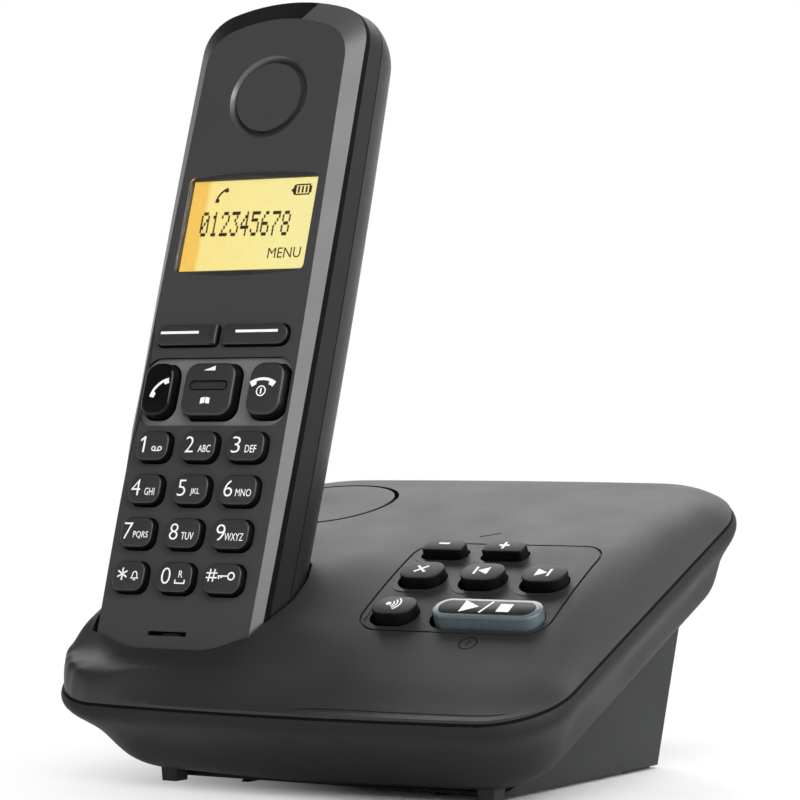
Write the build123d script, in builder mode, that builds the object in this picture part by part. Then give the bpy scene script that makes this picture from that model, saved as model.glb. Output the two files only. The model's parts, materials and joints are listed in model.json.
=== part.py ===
"""Answering machine: a sloped base with a handset cradle and a key panel, and its cordless handset.

Millimetres. +Z is up, +Y runs from the front of the base to its back, and the origin is on the table
below the middle of the whole machine.
"""

from build123d import *
import os
from math import cos, exp, hypot, pi, radians, sin, sqrt

os.makedirs("parts", exist_ok=True)


def save(piece, label):
    """Label a finished piece and write it as its own STEP file."""
    piece.part.label = label
    export_step(piece.part, f"parts/{label}.step")


# ---------------------------------------------------------------- driving dimensions

# base: a shallow pillow that lies on the slope of the seam between its two shells
base_tilt = 22.0  # slope of the seam, degrees
base_width = 122.0
base_run = 124.0  # front to back, along the slope
base_bow = 2.0  # how far the front and back edges bulge in the middle
front_corner = 16.0
back_corner = 22.0
front_y = -59.2  # front edge of the seam; the base's other lengths run back from here
seam_front = (0.0, front_y, 17.5)
wall = 2.4
seam_groove = 0.45  # width and depth of the shadow line between the shells
tongue_inset = 1.5  # the bottom shell's tongue stands in the top shell's rim
tongue_height = 1.0
tongue_gap = 0.1

# dome of the top shell, above the seam
land = 0.9  # upright land at the seam
dome_rise = 9.4
dome_start = -2.0
dome_period = 144.5
dome_power = 1.3
edge_roll = 15.0  # width over which the dome rolls down to its edge
cradle_roll = 3.0  # the same beside the cradle, where the edge stands nearly upright
cradle_roll_end = 60.0  # where it starts to widen again
roll_power = 3.2
nose_rise = 4.1  # rounded nose in front of the cradle
nose_run = 5.0
nose_spread = 9.0
shoulder_rise = 3.6  # shoulders beside the cradle
shoulder_run = 45.0
shoulder_spread = 25.0
cheek_rise = 2.5  # cheeks at its front corners, with a dip between them
cheek_run = 22.0
cheek_spread = 9.0
cheek_start = 8.0
cheek_width = 14.0
blend_start = 20.0  # from the handset's centre line, where the nose starts to die out
blend_width = 24.0

# bowl of the bottom shell: level below the seam, inset at the sides and front, inset at the back,
# front and back corner radii
rim_station = (0.0, 0.0, 0.0, front_corner, back_corner)
floor_station = (-24.4, 16.9, 7.8, 9.0, 11.0)
bowl_stations = (
    rim_station,
    (-2.8, -0.5, -0.5, 16.0, 22.0),
    (-7.9, 2.9, 1.3, 15.0, 20.0),
    (-16.0, 7.2, 2.4, 13.0, 17.0),
    (-21.4, 12.4, 4.9, 11.0, 14.0),
    floor_station,
)
bowl_depth = 24.4

# handset: leans back in the cradle, at the left of the base
handset_x = -35.75
handset_lean = 17.57
earpiece_point = (handset_x, front_y + 54.5, 153.4)  # centre of the earpiece disc, on the face
handset_wall = 1.6
waist_v = -65.0  # where the sides are widest
top_bow = 5.2  # how far the top edge arches
seam_depth = 9.5  # of the joint between the handset's shells, below its face

# depth, half widths at the top, waist and foot, top, foot, corner radii at the top and foot
face_station = (0.0, 20.6, 20.9, 19.4, 19.6, -135.2, 9.0, 6.0)
frame_station = (2.6, 21.9, 22.1, 20.7, 24.9, -136.6, 10.0, 7.0)
seam_station = (seam_depth, 22.3, 23.3, 22.0, 26.0, -137.2, 11.0, 7.5)
back_stations = (
    (14.5, 21.8, 22.8, 21.5, 25.0, -136.6, 11.0, 7.5),
    (18.5, 19.8, 20.8, 19.4, 22.5, -134.5, 10.0, 7.0),
    (21.6, 15.2, 16.2, 14.8, 18.0, -130.0, 8.0, 6.0),
    (23.0, 9.0, 10.0, 8.6, 12.0, -124.0, 5.0, 5.0),
)
# side profile of the handset's back, as (v, depth)
back_profile = (
    (28.0, 10.0),
    (22.0, 16.0),
    (6.0, 19.4),
    (-20.0, 21.2),
    (-50.0, 22.5),
    (-88.0, 22.5),
    (-118.0, 20.4),
    (-132.0, 17.2),
    (-139.0, 12.0),
)
cradle_clearance = 0.8
cradle_wall = 2.0
cup_skin = 1.3  # of the bottom shell, where the cradle's cup hollows it out
shell_gap = 0.1

# handset controls, as (u, v) on the face: u to the right, v up from the earpiece
earpiece_outer = 10.25
earpiece_bore = 8.9
earpiece_disc_radius = 8.4
window_half = 17.25
window_top = -19.4
window_foot = -42.6
window_bow = 1.1
lens_thickness = 1.0
soft_key_v = -58.2
soft_key_height = 4.9
soft_bar_half = 17.7
soft_split = -0.8
soft_ridge = 1.5
soft_rise = 1.1
soft_corner = 1.2
call_recess_v = -71.3
call_recess_height = 16.0
call_recess_width = 38.8
call_recess_depth = 0.7
call_key_v = -71.4
call_key_height = 12.9
call_key_rise = 2.0
call_corner = 3.2
talk_u = -13.9
talk_width = 9.1
rocker_u = -0.2
rocker_width = 13.5
rocker_axis = 2.65  # depth of the pins that it tilts on
rocker_flange_foot = 2.9
end_u = 14.0
end_width = 9.6
number_u = -0.3
number_pitch_u = 12.15
number_pitch_v = 10.03
number_row_v = -84.7
number_width = 10.2
number_height = 7.4
number_corner = 2.9
number_rise = 1.9
key_gap = 0.25
call_key_draft = 3.0
flange_top = 1.8  # below the face
flange_thickness = 0.7
flange_margin = 0.6
mat_top = 3.3
board_top = 4.4
board_thickness = 1.2
microphone_v = -126.9

# two AAA cells side by side in the handset's back
cell_radius = 5.2
cell_length = 44.5
cell_depth = 15.2
cell_v = -64.0
well_half = 11.0
well_length = 47.6
well_floor = 9.7
well_wall = 1.2
cover_half = 14.6
cover_length = 53.0
cover_gap = 0.2

# base controls, on a plane that lies on the dome, as (x, y) from the middle key
panel_tilt = 28.5
panel_x = 26.35
panel_run = 49.3  # of the middle key, along the slope from the front of the seam
panel_column = 14.75
panel_front_row = -14.2
panel_back_row = 11.5
panel_outline = (45.7, 37.4)
panel_middle = (0.3, -1.1)
panel_corner = 6.0
panel_groove = 0.5
base_key_width = 11.4
base_key_height = 8.3
base_key_corner = 3.4
volume_key_height = 5.4
volume_key_corner = 1.2
play_key_width = 27.0
play_key_height = 8.8
play_key_x = 7.4
play_key_corner = 4.0
play_rim = 1.5
base_key_gap = 0.45
base_key_rise = 2.4
base_flange_top = -4.3
base_flange_thickness = 0.8
base_flange_margin = 1.0
base_mat_top = -6.2
base_mat_thickness = 0.8
base_board_thickness = 1.6

# round disc behind the handset, over the loudspeaker
speaker_x = handset_x + 0.4
speaker_run = 90.6
speaker_ring = 17.5
speaker_disc_radius = 16.4
speaker_flange = 21.0
speaker_radius = 13.0

# stand under the back of the base, measured back from the front edge
stand_half = 41.5
stand_front = 25.6
stand_rear_foot = 103.0
stand_rear_top = 117.5
stand_rear_height = 38.0
stand_wall = 2.2
stand_corner = 3.0
foot_height = 0.9
front_foot = (39.1, 22.9)
rear_foot = (34.5, 95.0)
screw_places = ((-30.0, 110.5), (-4.0, 22.0), (34.0, 24.0), (36.0, 108.0))
socket_back = 82.0
line_socket_x = 14.0
power_socket_x = -8.0

# ---------------------------------------------------------------- planes

tilt = radians(base_tilt)
seam = Plane(origin=seam_front, x_dir=(1, 0, 0), z_dir=(0, -sin(tilt), cos(tilt)))
lean = radians(handset_lean)
face = Plane(origin=earpiece_point, x_dir=(1, 0, 0), z_dir=(0, -cos(lean), sin(lean)))
handset_side = Plane(origin=earpiece_point, x_dir=(0, sin(lean), cos(lean)), z_dir=(-1, 0, 0))


# ---------------------------------------------------------------- base forms


def edge_distance(x, run):
    """Distance in from the base's outline, on the seam plane."""
    bow = base_bow * (2 * x / base_width) ** 2
    middle = base_run / 2
    corner = front_corner if run < middle else back_corner
    beside = abs(x) - base_width / 2 + corner
    along = abs(run - middle) - (middle - bow) + corner
    outside = hypot(max(beside, 0), max(along, 0))
    return corner - outside - min(max(beside, along), 0)


def ease(share):
    """Smooth step from 0 to 1."""
    share = min(max(share, 0), 1)
    return share * share * (3 - 2 * share)


def swell(rise, run, centre, spread):
    """Height of a rounded swell across the slope."""
    return rise * exp(-(((run - centre) / spread) ** 2))


def dome_height(x, run, inset=0.0):
    """Height of the top shell above the seam plane; `inset` shrinks it to its inner wall."""
    across = x - handset_x
    turn = min(max((run - dome_start) / dome_period, 0.004), 0.996)
    dome = dome_rise * sin(pi * turn) ** dome_power
    nose = swell(nose_rise, run, nose_run, nose_spread)
    shoulder = swell(shoulder_rise, run, shoulder_run, shoulder_spread)
    cheek = swell(cheek_rise, run, cheek_run, cheek_spread)
    cheek *= ease((abs(across) - cheek_start) / cheek_width)
    fade = 1 - ease((across - blend_start) / blend_width)
    width = edge_roll
    if inset == 0:
        beside = ease((10 - across) / 20) * (1 - ease((run - cradle_roll_end) / 30))
        width += (cradle_roll - edge_roll) * beside
    short = 1 - (edge_distance(x, run) - inset) / width
    roll = 1 - max(short, 0) ** roll_power if short < 1 else roll_power * (1 - short)
    return land - inset + (dome + (nose + shoulder + cheek) * fade) * roll


def spread_station(place, count, half):
    """Station across the dome, closer together near its edges."""
    even = 2 * place / count - 1
    crowded = -cos(pi * place / count)
    return half * (0.4 * even + 0.6 * crowded)


def dome_solid(inset=0.0, stations=36, fit=0.05):
    """Everything under the dome, or under its inner wall, wider than the base."""
    below = 60.0
    overhang = 1.0
    half_width = base_width / 2 + overhang
    half_run = base_run / 2 + overhang
    grid = []
    for i in range(stations + 1):
        x = spread_station(i, stations, half_width)
        row = []
        for j in range(stations + 1):
            run = base_run / 2 + spread_station(j, stations, half_run)
            row.append(seam.from_local_coords((x, run, dome_height(x, run, inset))))
        grid.append(row)
    skin = Face.make_surface_from_array_of_points(grid, tol=fit)
    return Solid.extrude(skin, seam.z_dir * -below)


def base_section(station, thickness=0.0):
    """Outline of the base at one level, or of its cavity, one wall thickness in."""
    level, inset, back_inset, front_radius, back_radius = station
    half = base_width / 2 - inset - thickness
    front = inset + thickness
    back = base_run - back_inset - thickness
    with BuildSketch(seam.offset(level)) as section:
        with BuildLine():
            ThreePointArc((-half, front + base_bow), (0, front), (half, front + base_bow))
            Line((half, front + base_bow), (half, back - base_bow))
            ThreePointArc((half, back - base_bow), (0, back), (-half, back - base_bow))
            Line((-half, back - base_bow), (-half, front + base_bow))
        make_face()
        fillet(section.vertices().group_by(Axis.Y)[0], front_radius - thickness)
        fillet(section.vertices().group_by(Axis.Y)[-1], back_radius - thickness)
    return section.sketch


def rim_prism(depth, height, inset=0.0):
    """Prism on the base's outline, from `depth` under the seam to `height` over it."""
    station = (-depth, 0.0, 0.0, front_corner, back_corner)
    with BuildPart() as prism:
        extrude(base_section(station, inset), amount=depth + height)
    return prism.part


def rim_ring(outer_inset, inner_inset, height):
    """Ring that stands on the seam, between two insets from the base's outline."""
    with BuildPart() as ring:
        extrude(base_section(rim_station, outer_inset), amount=height)
        extrude(base_section(rim_station, inner_inset), amount=height, mode=Mode.SUBTRACT)
    return ring.part


def under_seam(x, run, level=0.0):
    """Plane square to the seam, at a place on it."""
    point = seam.from_local_coords((x, run, level))
    return Plane(origin=point, x_dir=(1, 0, 0), z_dir=seam.z_dir)


slope = radians(panel_tilt)
panel_point = seam.from_local_coords((panel_x, panel_run, dome_height(panel_x, panel_run)))
panel = Plane(origin=panel_point, x_dir=(1, 0, 0), z_dir=(0, -sin(slope), cos(slope)))


def panel_rise(x, y):
    """Height of the dome above the panel's plane."""
    rise = 0.0
    for _ in range(6):
        place = seam.to_local_coords(Vector(*panel.from_local_coords((x, y, rise))))
        rise += dome_height(place.X, place.Y) - place.Z
    return rise


# ---------------------------------------------------------------- handset forms


def handset_section(station, grow=0.0):
    """Outline of the handset at one depth behind its face, grown all round."""
    depth, half_top, half_waist, half_foot, top, foot, top_radius, foot_radius = station
    if depth == 0:
        depth = -grow
    high = top + grow
    low = foot - grow
    shoulder = (half_top + grow, high - top_bow)
    waist = (half_waist + grow, waist_v)
    ankle = (half_foot + grow, low)
    with BuildSketch(face.offset(-depth)) as section:
        with BuildLine():
            ThreePointArc(ankle, waist, shoulder)
            ThreePointArc(shoulder, (0, high), (-shoulder[0], shoulder[1]))
            ThreePointArc((-shoulder[0], shoulder[1]), (-waist[0], waist_v), (-ankle[0], low))
            Line((-ankle[0], low), ankle)
        make_face()
        fillet(section.vertices().group_by(Axis.Y)[0], foot_radius + grow)
        fillet(section.vertices().group_by(Axis.Y)[-1], top_radius + grow)
    return section.sketch


def handset_front(grow=0.0):
    """The handset from its face to the joint between its shells."""
    stations = (face_station, frame_station, seam_station)
    with BuildPart() as solid:
        loft([handset_section(station, grow) for station in stations], ruled=True)
    return solid.part


def handset_back(grow=0.0):
    """The handset behind the joint between its shells, with its crowned back."""
    crown = [(v, depth + grow) for v, depth in back_profile]
    top_end, foot_end = crown[0], crown[-1]
    with BuildPart() as solid:
        sections = [handset_section(station, grow) for station in (seam_station, *back_stations)]
        loft(sections, ruled=grow != 0)
        with BuildSketch(handset_side):
            with BuildLine():
                Spline(*crown)
                Polyline(foot_end, (foot_end[0] - 10, 0), (top_end[0] + 10, 0), top_end)
            make_face()
        extrude(amount=40, both=True, mode=Mode.INTERSECT)
    return solid.part


def outline_on(plane, outline, margin=0.0):
    """A flat outline laid on a plane, grown by a margin."""
    with BuildSketch(plane) as sketch:
        add(outline)
        if margin:
            offset(amount=margin)
    return sketch.sketch


def rounded(x, y, width, height, radius):
    """Outline of a key with rounded corners."""
    with BuildSketch() as sketch:
        with Locations((x, y)):
            RectangleRounded(width, height, radius)
    return sketch.sketch


def well_on(plane, outline, corner, gap):
    """Outline of a key's well: the key's own with a gap, its round corners cut straight."""
    box = outline.bounding_box()
    with BuildSketch(plane) as sketch:
        with Locations(box.center()):
            Rectangle(box.size.X + 2 * gap, box.size.Y + 2 * gap)
        chamfer(sketch.vertices(), (2 - sqrt(2)) * (corner + gap))
    return sketch.sketch


def octagon_on(plane, radius):
    """Outline of a moulded post or of a screw."""
    with BuildSketch(plane) as sketch:
        RegularPolygon(radius, 8)
    return sketch.sketch


def key_cap(plane, outline, top, flange_low, flange_height, margin, draft):
    """Key: a square flange under the housing, and a cap that stands up through its well."""
    box = outline.bounding_box()
    flange = Plane(plane.from_local_coords(box.center()), plane.x_dir, plane.z_dir).offset(flange_low)
    cap_foot = flange_low + flange_height
    with BuildPart() as cap:
        with BuildSketch(flange):
            Rectangle(box.size.X + 2 * margin, box.size.Y + 2 * margin)
        extrude(amount=flange_height)
        extrude(outline_on(plane.offset(cap_foot), outline), amount=top - cap_foot, taper=draft)
    return cap


def handset_key(outline, rise, draft=0.0):
    """Key of the handset."""
    low = -flange_top - flange_thickness
    return key_cap(face, outline, rise, low, flange_thickness, flange_margin, draft)


def base_key(x, y, outline):
    """Key of the base; its flange lies under the dome's inner wall."""
    low = base_flange_top - base_flange_thickness
    top = panel_rise(x, y) + base_key_rise
    return key_cap(panel, outline, top, low, base_flange_thickness, base_flange_margin, 0.0)


# ---------------------------------------------------------------- outlines of the keys

number_outlines = {}
number_names = ("1", "2", "3", "4", "5", "6", "7", "8", "9", "star", "0", "hash")
for place, name in enumerate(number_names):
    u = number_u + (place % 3 - 1) * number_pitch_u
    v = number_row_v - (place // 3) * number_pitch_v
    number_outlines[name] = rounded(u, v, number_width, number_height, number_corner)

soft_left_width = soft_bar_half + soft_split - soft_ridge / 2
soft_right_width = soft_bar_half - soft_split - soft_ridge / 2
soft_left_u = soft_left_width / 2 - soft_bar_half
soft_right_u = soft_bar_half - soft_right_width / 2
soft_left = rounded(soft_left_u, soft_key_v, soft_left_width, soft_key_height, soft_corner)
soft_right = rounded(soft_right_u, soft_key_v, soft_right_width, soft_key_height, soft_corner)
talk_outline = rounded(talk_u, call_key_v, talk_width, call_key_height, call_corner)
rocker_outline = rounded(rocker_u, call_key_v, rocker_width, call_key_height, call_corner)
end_outline = rounded(end_u, call_key_v, end_width, call_key_height, call_corner)

with BuildSketch() as window_outline:
    with BuildLine():
        ThreePointArc((window_half, window_top), (0, window_top + window_bow), (-window_half, window_top))
        Line((-window_half, window_top), (-window_half, window_foot))
        foot_middle = (0, window_foot - window_bow)
        ThreePointArc((-window_half, window_foot), foot_middle, (window_half, window_foot))
        Line((window_half, window_foot), (window_half, window_top))
    make_face()
    fillet(window_outline.vertices(), 1.6)
window = window_outline.sketch


def oval_at(x, y):
    """Outline of a round base key."""
    return rounded(x, y, base_key_width, base_key_height, base_key_corner)


def volume_at(x):
    """Outline of a volume key, rounder at the back than in front."""
    with BuildSketch() as sketch:
        with Locations((x, panel_back_row)):
            Rectangle(base_key_width, volume_key_height)
        fillet(sketch.vertices().group_by(Axis.Y)[0], volume_key_corner)
        fillet(sketch.vertices().group_by(Axis.Y)[-1], 2.4)
    return sketch.sketch


# place and outline of each base key
base_keys = {
    "button_minus": (-panel_column, panel_back_row, volume_at(-panel_column)),
    "button_plus": (0.0, panel_back_row, volume_at(0.0)),
    "button_delete": (-panel_column, 0.0, oval_at(-panel_column, 0.0)),
    "button_back": (0.0, 0.0, oval_at(0.0, 0.0)),
    "button_forward": (panel_column, 0.0, oval_at(panel_column, 0.0)),
    "button_paging": (-panel_column, panel_front_row, oval_at(-panel_column, panel_front_row)),
}
play_rim_outline = rounded(
    play_key_x, panel_front_row, play_key_width, play_key_height, play_key_corner
)
play_top_outline = rounded(
    play_key_x,
    panel_front_row,
    play_key_width - 2 * play_rim,
    play_key_height - 2 * play_rim,
    play_key_corner - play_rim,
)

# outline and corner radius of each well in the panel
panel_wells = [
    *((outline, volume_key_corner) for x, y, outline in base_keys.values() if y == panel_back_row),
    *((outline, base_key_corner) for x, y, outline in base_keys.values() if y != panel_back_row),
    (play_rim_outline, play_key_corner),
]

# ---------------------------------------------------------------- base: top shell

dome = dome_solid()
dome_inside = dome_solid(wall, 16, 0.2)
dome_groove = dome_solid(panel_groove)
dome_under_flange = dome_solid(wall + 1.2, 16, 0.2)
speaker_axis = under_seam(speaker_x, speaker_run)
pocket = [handset_front(cradle_clearance), handset_back(cradle_clearance)]
cup_grow = cradle_clearance + cradle_wall
cup = [handset_front(cup_grow), handset_back(cup_grow)]
cup_room = [handset_front(cup_grow + shell_gap), handset_back(cup_grow + shell_gap)]

with BuildPart() as cradle_limit:
    add(rim_prism(0.0, 30.0, cup_skin + shell_gap))
    loft([base_section(station, cup_skin + shell_gap) for station in bowl_stations])
    add(dome, mode=Mode.INTERSECT)

with BuildPart() as cradle:
    add(cup)
    add(cradle_limit.part, mode=Mode.INTERSECT)

with BuildPart() as cavity:
    add(rim_prism(1.0, 30.0, wall))
    add(dome_inside, mode=Mode.INTERSECT)

with BuildPart() as panel_line:
    with BuildSketch(panel.offset(-8)):
        add(rounded(*panel_middle, *panel_outline, panel_corner))
        offset(amount=-panel_groove, mode=Mode.SUBTRACT)
    extrude(amount=16)
    add(dome_groove, mode=Mode.SUBTRACT)

boss_foot = -9.0  # level of the joint between the bosses of the two shells
boss_radius = 3.4
screw_hole = 1.1
with BuildPart() as bosses:
    for x, run in screw_places:
        extrude(octagon_on(under_seam(x, run, boss_foot), boss_radius), amount=30)
    add(dome_inside, mode=Mode.INTERSECT)

base_board_top = base_mat_top - base_mat_thickness
board_post = (24.8, 12.0)
with BuildPart() as board_posts:
    for x in (-board_post[0], board_post[0]):
        for y in (-board_post[1], board_post[1]):
            foot = Plane(panel.from_local_coords((x, y, base_board_top)), panel.x_dir, panel.z_dir)
            extrude(octagon_on(foot, 1.8), amount=20)
    add(dome_inside, mode=Mode.INTERSECT)

contact_x = 7.0
contact_width = 2.4
with BuildPart() as base_top_shell:
    add(rim_prism(0.0, 30.0))
    add(dome, mode=Mode.INTERSECT)
    add(cavity.part, mode=Mode.SUBTRACT)
    # shadow line and the rebate for the bottom shell's tongue
    add(rim_ring(0.0, seam_groove, seam_groove), mode=Mode.SUBTRACT)
    extrude(
        base_section(rim_station, tongue_inset - tongue_gap),
        amount=tongue_height + tongue_gap,
        mode=Mode.SUBTRACT,
    )
    add(bosses.part)
    add(board_posts.part)
    add(cradle.part)
    add(pocket, mode=Mode.SUBTRACT)
    add(panel_line.part, mode=Mode.SUBTRACT)
    for x, run in screw_places:
        hole = octagon_on(under_seam(x, run, boss_foot - 1), screw_hole)
        extrude(hole, amount=12, mode=Mode.SUBTRACT)
    # wells of the keys and the opening of the loudspeaker's disc
    for outline, corner in panel_wells:
        extrude(well_on(panel.offset(-8), outline, corner, base_key_gap), amount=16, mode=Mode.SUBTRACT)
    with Locations(speaker_axis):
        Cylinder(speaker_ring, 60, mode=Mode.SUBTRACT)
    # slots for the charging contacts in the cradle's floor
    for x in (-contact_x, contact_x):
        with Locations(face.offset(-7.2) * Location((x, seam_station[5], 0))):
            Box(contact_width + 0.4, 12, 2.0, mode=Mode.SUBTRACT)
save(base_top_shell, "base_top_shell")

# ---------------------------------------------------------------- base: bottom shell

with BuildPart() as bowl_outside:
    loft([base_section(station) for station in bowl_stations])

floor_level = wall - bowl_depth
with BuildPart() as bowl_inside:
    levels = [(max(station[0], floor_level), *station[1:]) for station in bowl_stations]
    loft([base_section(station, wall) for station in levels], ruled=True)

line_socket_size = (13.0, 12.0, 13.0)
power_socket_size = (11.0, 11.0, 13.0)
socket_y = front_y + socket_back
socket_low = 22.6  # height of the sockets' mouths, in the slope of the floor
sockets = {
    "line_socket": (line_socket_x, line_socket_size),
    "power_socket": (power_socket_x, power_socket_size),
}
socket_room = 0.15
socket_collar = 1.6

with BuildPart() as bottom_posts:
    for x, run in screw_places:
        foot = under_seam(x, run, 0.5 - bowl_depth)
        extrude(octagon_on(foot, boss_radius + 0.6), amount=boss_foot + bowl_depth - 0.5)

head_seat = -15.5  # level that the screw heads bear on
head_well = 3.0
with BuildPart() as cup_hollow:
    add(rim_prism(0.0, 5.0, cup_skin))
    loft([base_section(station, cup_skin) for station in bowl_stations])
    add(cup_room, mode=Mode.INTERSECT)

with BuildPart() as base_bottom_shell:
    add(bowl_outside.part)
    add(bowl_inside.part, mode=Mode.SUBTRACT)
    add(rim_ring(tongue_inset, wall, tongue_height))
    add(bottom_posts.part)
    add(cup_hollow.part, mode=Mode.SUBTRACT)
    for x, run in screw_places:
        extrude(octagon_on(under_seam(x, run, boss_foot + 1), 1.6), amount=-20, mode=Mode.SUBTRACT)
        extrude(octagon_on(under_seam(x, run, head_seat), head_well), amount=-20, mode=Mode.SUBTRACT)
    for x, (width, depth, height) in sockets.values():
        with Locations((x, socket_y, socket_low)):
            Box(
                width + 2 * socket_room,
                depth + 2 * socket_room,
                2 * height,
                mode=Mode.SUBTRACT,
            )
save(base_bottom_shell, "base_bottom_shell")

# ---------------------------------------------------------------- base: stand and feet

under_floor = -bowl_depth


def stand_block(inset, low, level):
    """The stand's outline as a solid, from `low` up to a level under the seam."""
    lean_rate = (stand_rear_top - stand_rear_foot) / stand_rear_height
    rise = 60.0
    with BuildPart() as block:
        with BuildSketch(Plane.YZ):
            with BuildLine():
                Polyline(
                    (front_y + stand_front + inset, low),
                    (front_y + stand_rear_foot - inset + lean_rate * low, low),
                    (front_y + stand_rear_foot - inset + lean_rate * rise, rise),
                    (front_y + stand_front + inset, rise),
                    close=True,
                )
            make_face()
        extrude(amount=stand_half - inset, both=True)
        if inset == 0:
            fillet(block.edges().filter_by(lambda edge: abs(edge.tangent_at(0.5).Z) > 0.9), stand_corner)
        split(bisect_by=seam.offset(level), keep=Keep.BOTTOM)
    return block.part


stand_outside = stand_block(0.0, foot_height, under_floor)
stand_inside = stand_block(stand_wall, -1.0, under_floor - 2.0)
pad_width = 9.0
pad_length = 14.0
pad_height = 2.0
cable_slot = (9.0, 7.0)
socket_window = (44.0, 24.0)

with BuildPart() as pad_seats:
    for x in (-rear_foot[0], rear_foot[0]):
        with Locations((x, front_y + rear_foot[1], foot_height)):
            Box(pad_width + 3, pad_length + 3, 5, align=(Align.CENTER, Align.CENTER, Align.MIN))
    add(stand_outside, mode=Mode.INTERSECT)

rib_height = 7.0
with BuildPart() as stand_ribs:
    for x in (-24.0, 24.0):
        with Locations((x, front_y + 70, 30)):
            Box(1.8, 90, 60)
    add(stand_inside, mode=Mode.INTERSECT)
    split(bisect_by=seam.offset(under_floor - 2.0 - rib_height), keep=Keep.TOP)

with BuildPart() as rear_stand:
    add(stand_outside)
    add(stand_inside, mode=Mode.SUBTRACT)
    add(pad_seats.part)
    add(stand_ribs.part)
    with Locations((0, front_y + stand_rear_foot, foot_height)):
        Box(cable_slot[0], 20, 2 * cable_slot[1], mode=Mode.SUBTRACT)
    with Locations(((line_socket_x + power_socket_x) / 2, socket_y, 30)):
        Box(*socket_window, 60, mode=Mode.SUBTRACT)
    for x in (-rear_foot[0], rear_foot[0]):
        with Locations((x, front_y + rear_foot[1], 0)):
            Box(pad_width, pad_length, 2 * pad_height, mode=Mode.SUBTRACT)
save(rear_stand, "rear_stand")

with BuildPart() as rear_feet:
    for x in (-rear_foot[0], rear_foot[0]):
        with Locations((x, front_y + rear_foot[1], 0)):
            Box(pad_width, pad_length, pad_height, align=(Align.CENTER, Align.CENTER, Align.MIN))
save(rear_feet, "rear_feet")

with BuildPart() as front_feet:
    for x in (-front_foot[0], front_foot[0]):
        with BuildSketch(Plane.XY):
            with Locations((x, front_y + front_foot[1])):
                Rectangle(3.6, 4.4)
        extrude(amount=6.0, taper=-4)
    add(bowl_outside.part, mode=Mode.SUBTRACT)
save(front_feet, "front_feet")

# ---------------------------------------------------------------- base: loudspeaker and its disc

collar_foot = 2.0
collar_radius = 14.4
slot_inner = 16.0
slot_outer = 18.4
slot_length = 12.0

with BuildPart() as disc_under:
    with Locations(speaker_axis):
        Cylinder(speaker_flange, 40)
        Cylinder(collar_radius - 1, 40, mode=Mode.SUBTRACT)
    add(dome_inside, mode=Mode.INTERSECT)
    add(dome_under_flange, mode=Mode.SUBTRACT)
    with BuildSketch(speaker_axis.offset(-20)):
        with PolarLocations((slot_inner + slot_outer) / 2, 4):
            Rectangle(slot_outer - slot_inner, slot_length)
    extrude(amount=40, mode=Mode.SUBTRACT)

with BuildPart() as disc_collar:
    with Locations(under_seam(speaker_x, speaker_run, collar_foot)):
        Cylinder(collar_radius, 20, align=(Align.CENTER, Align.CENTER, Align.MIN))
        Cylinder(speaker_radius + 0.15, 40, mode=Mode.SUBTRACT)
    add(dome_inside, mode=Mode.INTERSECT)

with BuildPart() as speaker_disc:
    with Locations(speaker_axis):
        Cylinder(speaker_disc_radius, 40)
    add(dome, mode=Mode.INTERSECT)
    add(dome_under_flange, mode=Mode.SUBTRACT)
    add(disc_under.part)
    add(disc_collar.part)
    boss_room = octagon_on(under_seam(*screw_places[0], boss_foot), boss_radius + 0.4)
    extrude(boss_room, amount=30, mode=Mode.SUBTRACT)
save(speaker_disc, "speaker_disc")

# cone, basket and magnet, as (radius, level)
speaker_profile = (
    (0.0, 2.4),
    (4.0, 0.8),
    (11.4, 3.6),
    (speaker_radius, 3.6),
    (speaker_radius, 2.4),
    (8.0, -2.0),
    (8.0, -5.4),
    (0.0, -5.4),
)
with BuildPart() as loudspeaker:
    with BuildSketch(Plane(speaker_axis.origin, x_dir=(1, 0, 0), z_dir=(0, -cos(tilt), -sin(tilt)))):
        with BuildLine():
            Polyline(*speaker_profile, close=True)
        make_face()
    revolve(axis=Axis(speaker_axis.origin, speaker_axis.z_dir))
save(loudspeaker, "loudspeaker")

# ---------------------------------------------------------------- base: keys and their board

mat_size = (44.0, 37.0)
mat_middle = (0.3, -1.0)
base_board_size = (53.6, 39.0)
with BuildPart() as base_key_mat:
    with BuildSketch(panel.offset(base_board_top)):
        with Locations(mat_middle):
            Rectangle(*mat_size)
    extrude(amount=base_mat_thickness)
save(base_key_mat, "base_key_mat")

with BuildPart() as base_circuit_board:
    with BuildSketch(panel.offset(base_board_top)):
        with Locations(mat_middle):
            Rectangle(*base_board_size)
    extrude(amount=-base_board_thickness)
save(base_circuit_board, "base_circuit_board")

for label, (x, y, outline) in base_keys.items():
    save(base_key(x, y, outline), label)

play_surface = panel_rise(play_key_x, panel_front_row)
play_pocket = play_surface + base_key_rise - 1.3
play_rim_key = base_key(play_key_x, panel_front_row, play_rim_outline)
with BuildPart() as play_stop_rim:
    add(play_rim_key.part)
    extrude(outline_on(panel.offset(play_pocket), play_top_outline), amount=4, mode=Mode.SUBTRACT)
save(play_stop_rim, "play_stop_rim")

with BuildPart() as play_stop_cap:
    extrude(outline_on(panel.offset(play_pocket), play_top_outline, -0.03), amount=1.4)
save(play_stop_cap, "play_stop_cap")

# ---------------------------------------------------------------- base: sockets, contacts and screws

socket_hole = {"line_socket": (7.0, 6.6), "power_socket": (6.0, 5.6)}
socket_hole_depth = 10.5
for label, (x, (width, depth, height)) in sockets.items():
    with BuildPart() as socket:
        with Locations((x, socket_y, socket_low)):
            Box(width, depth, height, align=(Align.CENTER, Align.CENTER, Align.MIN))
            Box(
                *socket_hole[label],
                2 * socket_hole_depth,
                mode=Mode.SUBTRACT,
            )
        with Locations((x, socket_y, socket_low + height - 2.0)):
            Box(width + 4, depth + 4, 2.0, align=(Align.CENTER, Align.CENTER, Align.MIN))
    save(socket, label)

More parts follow.
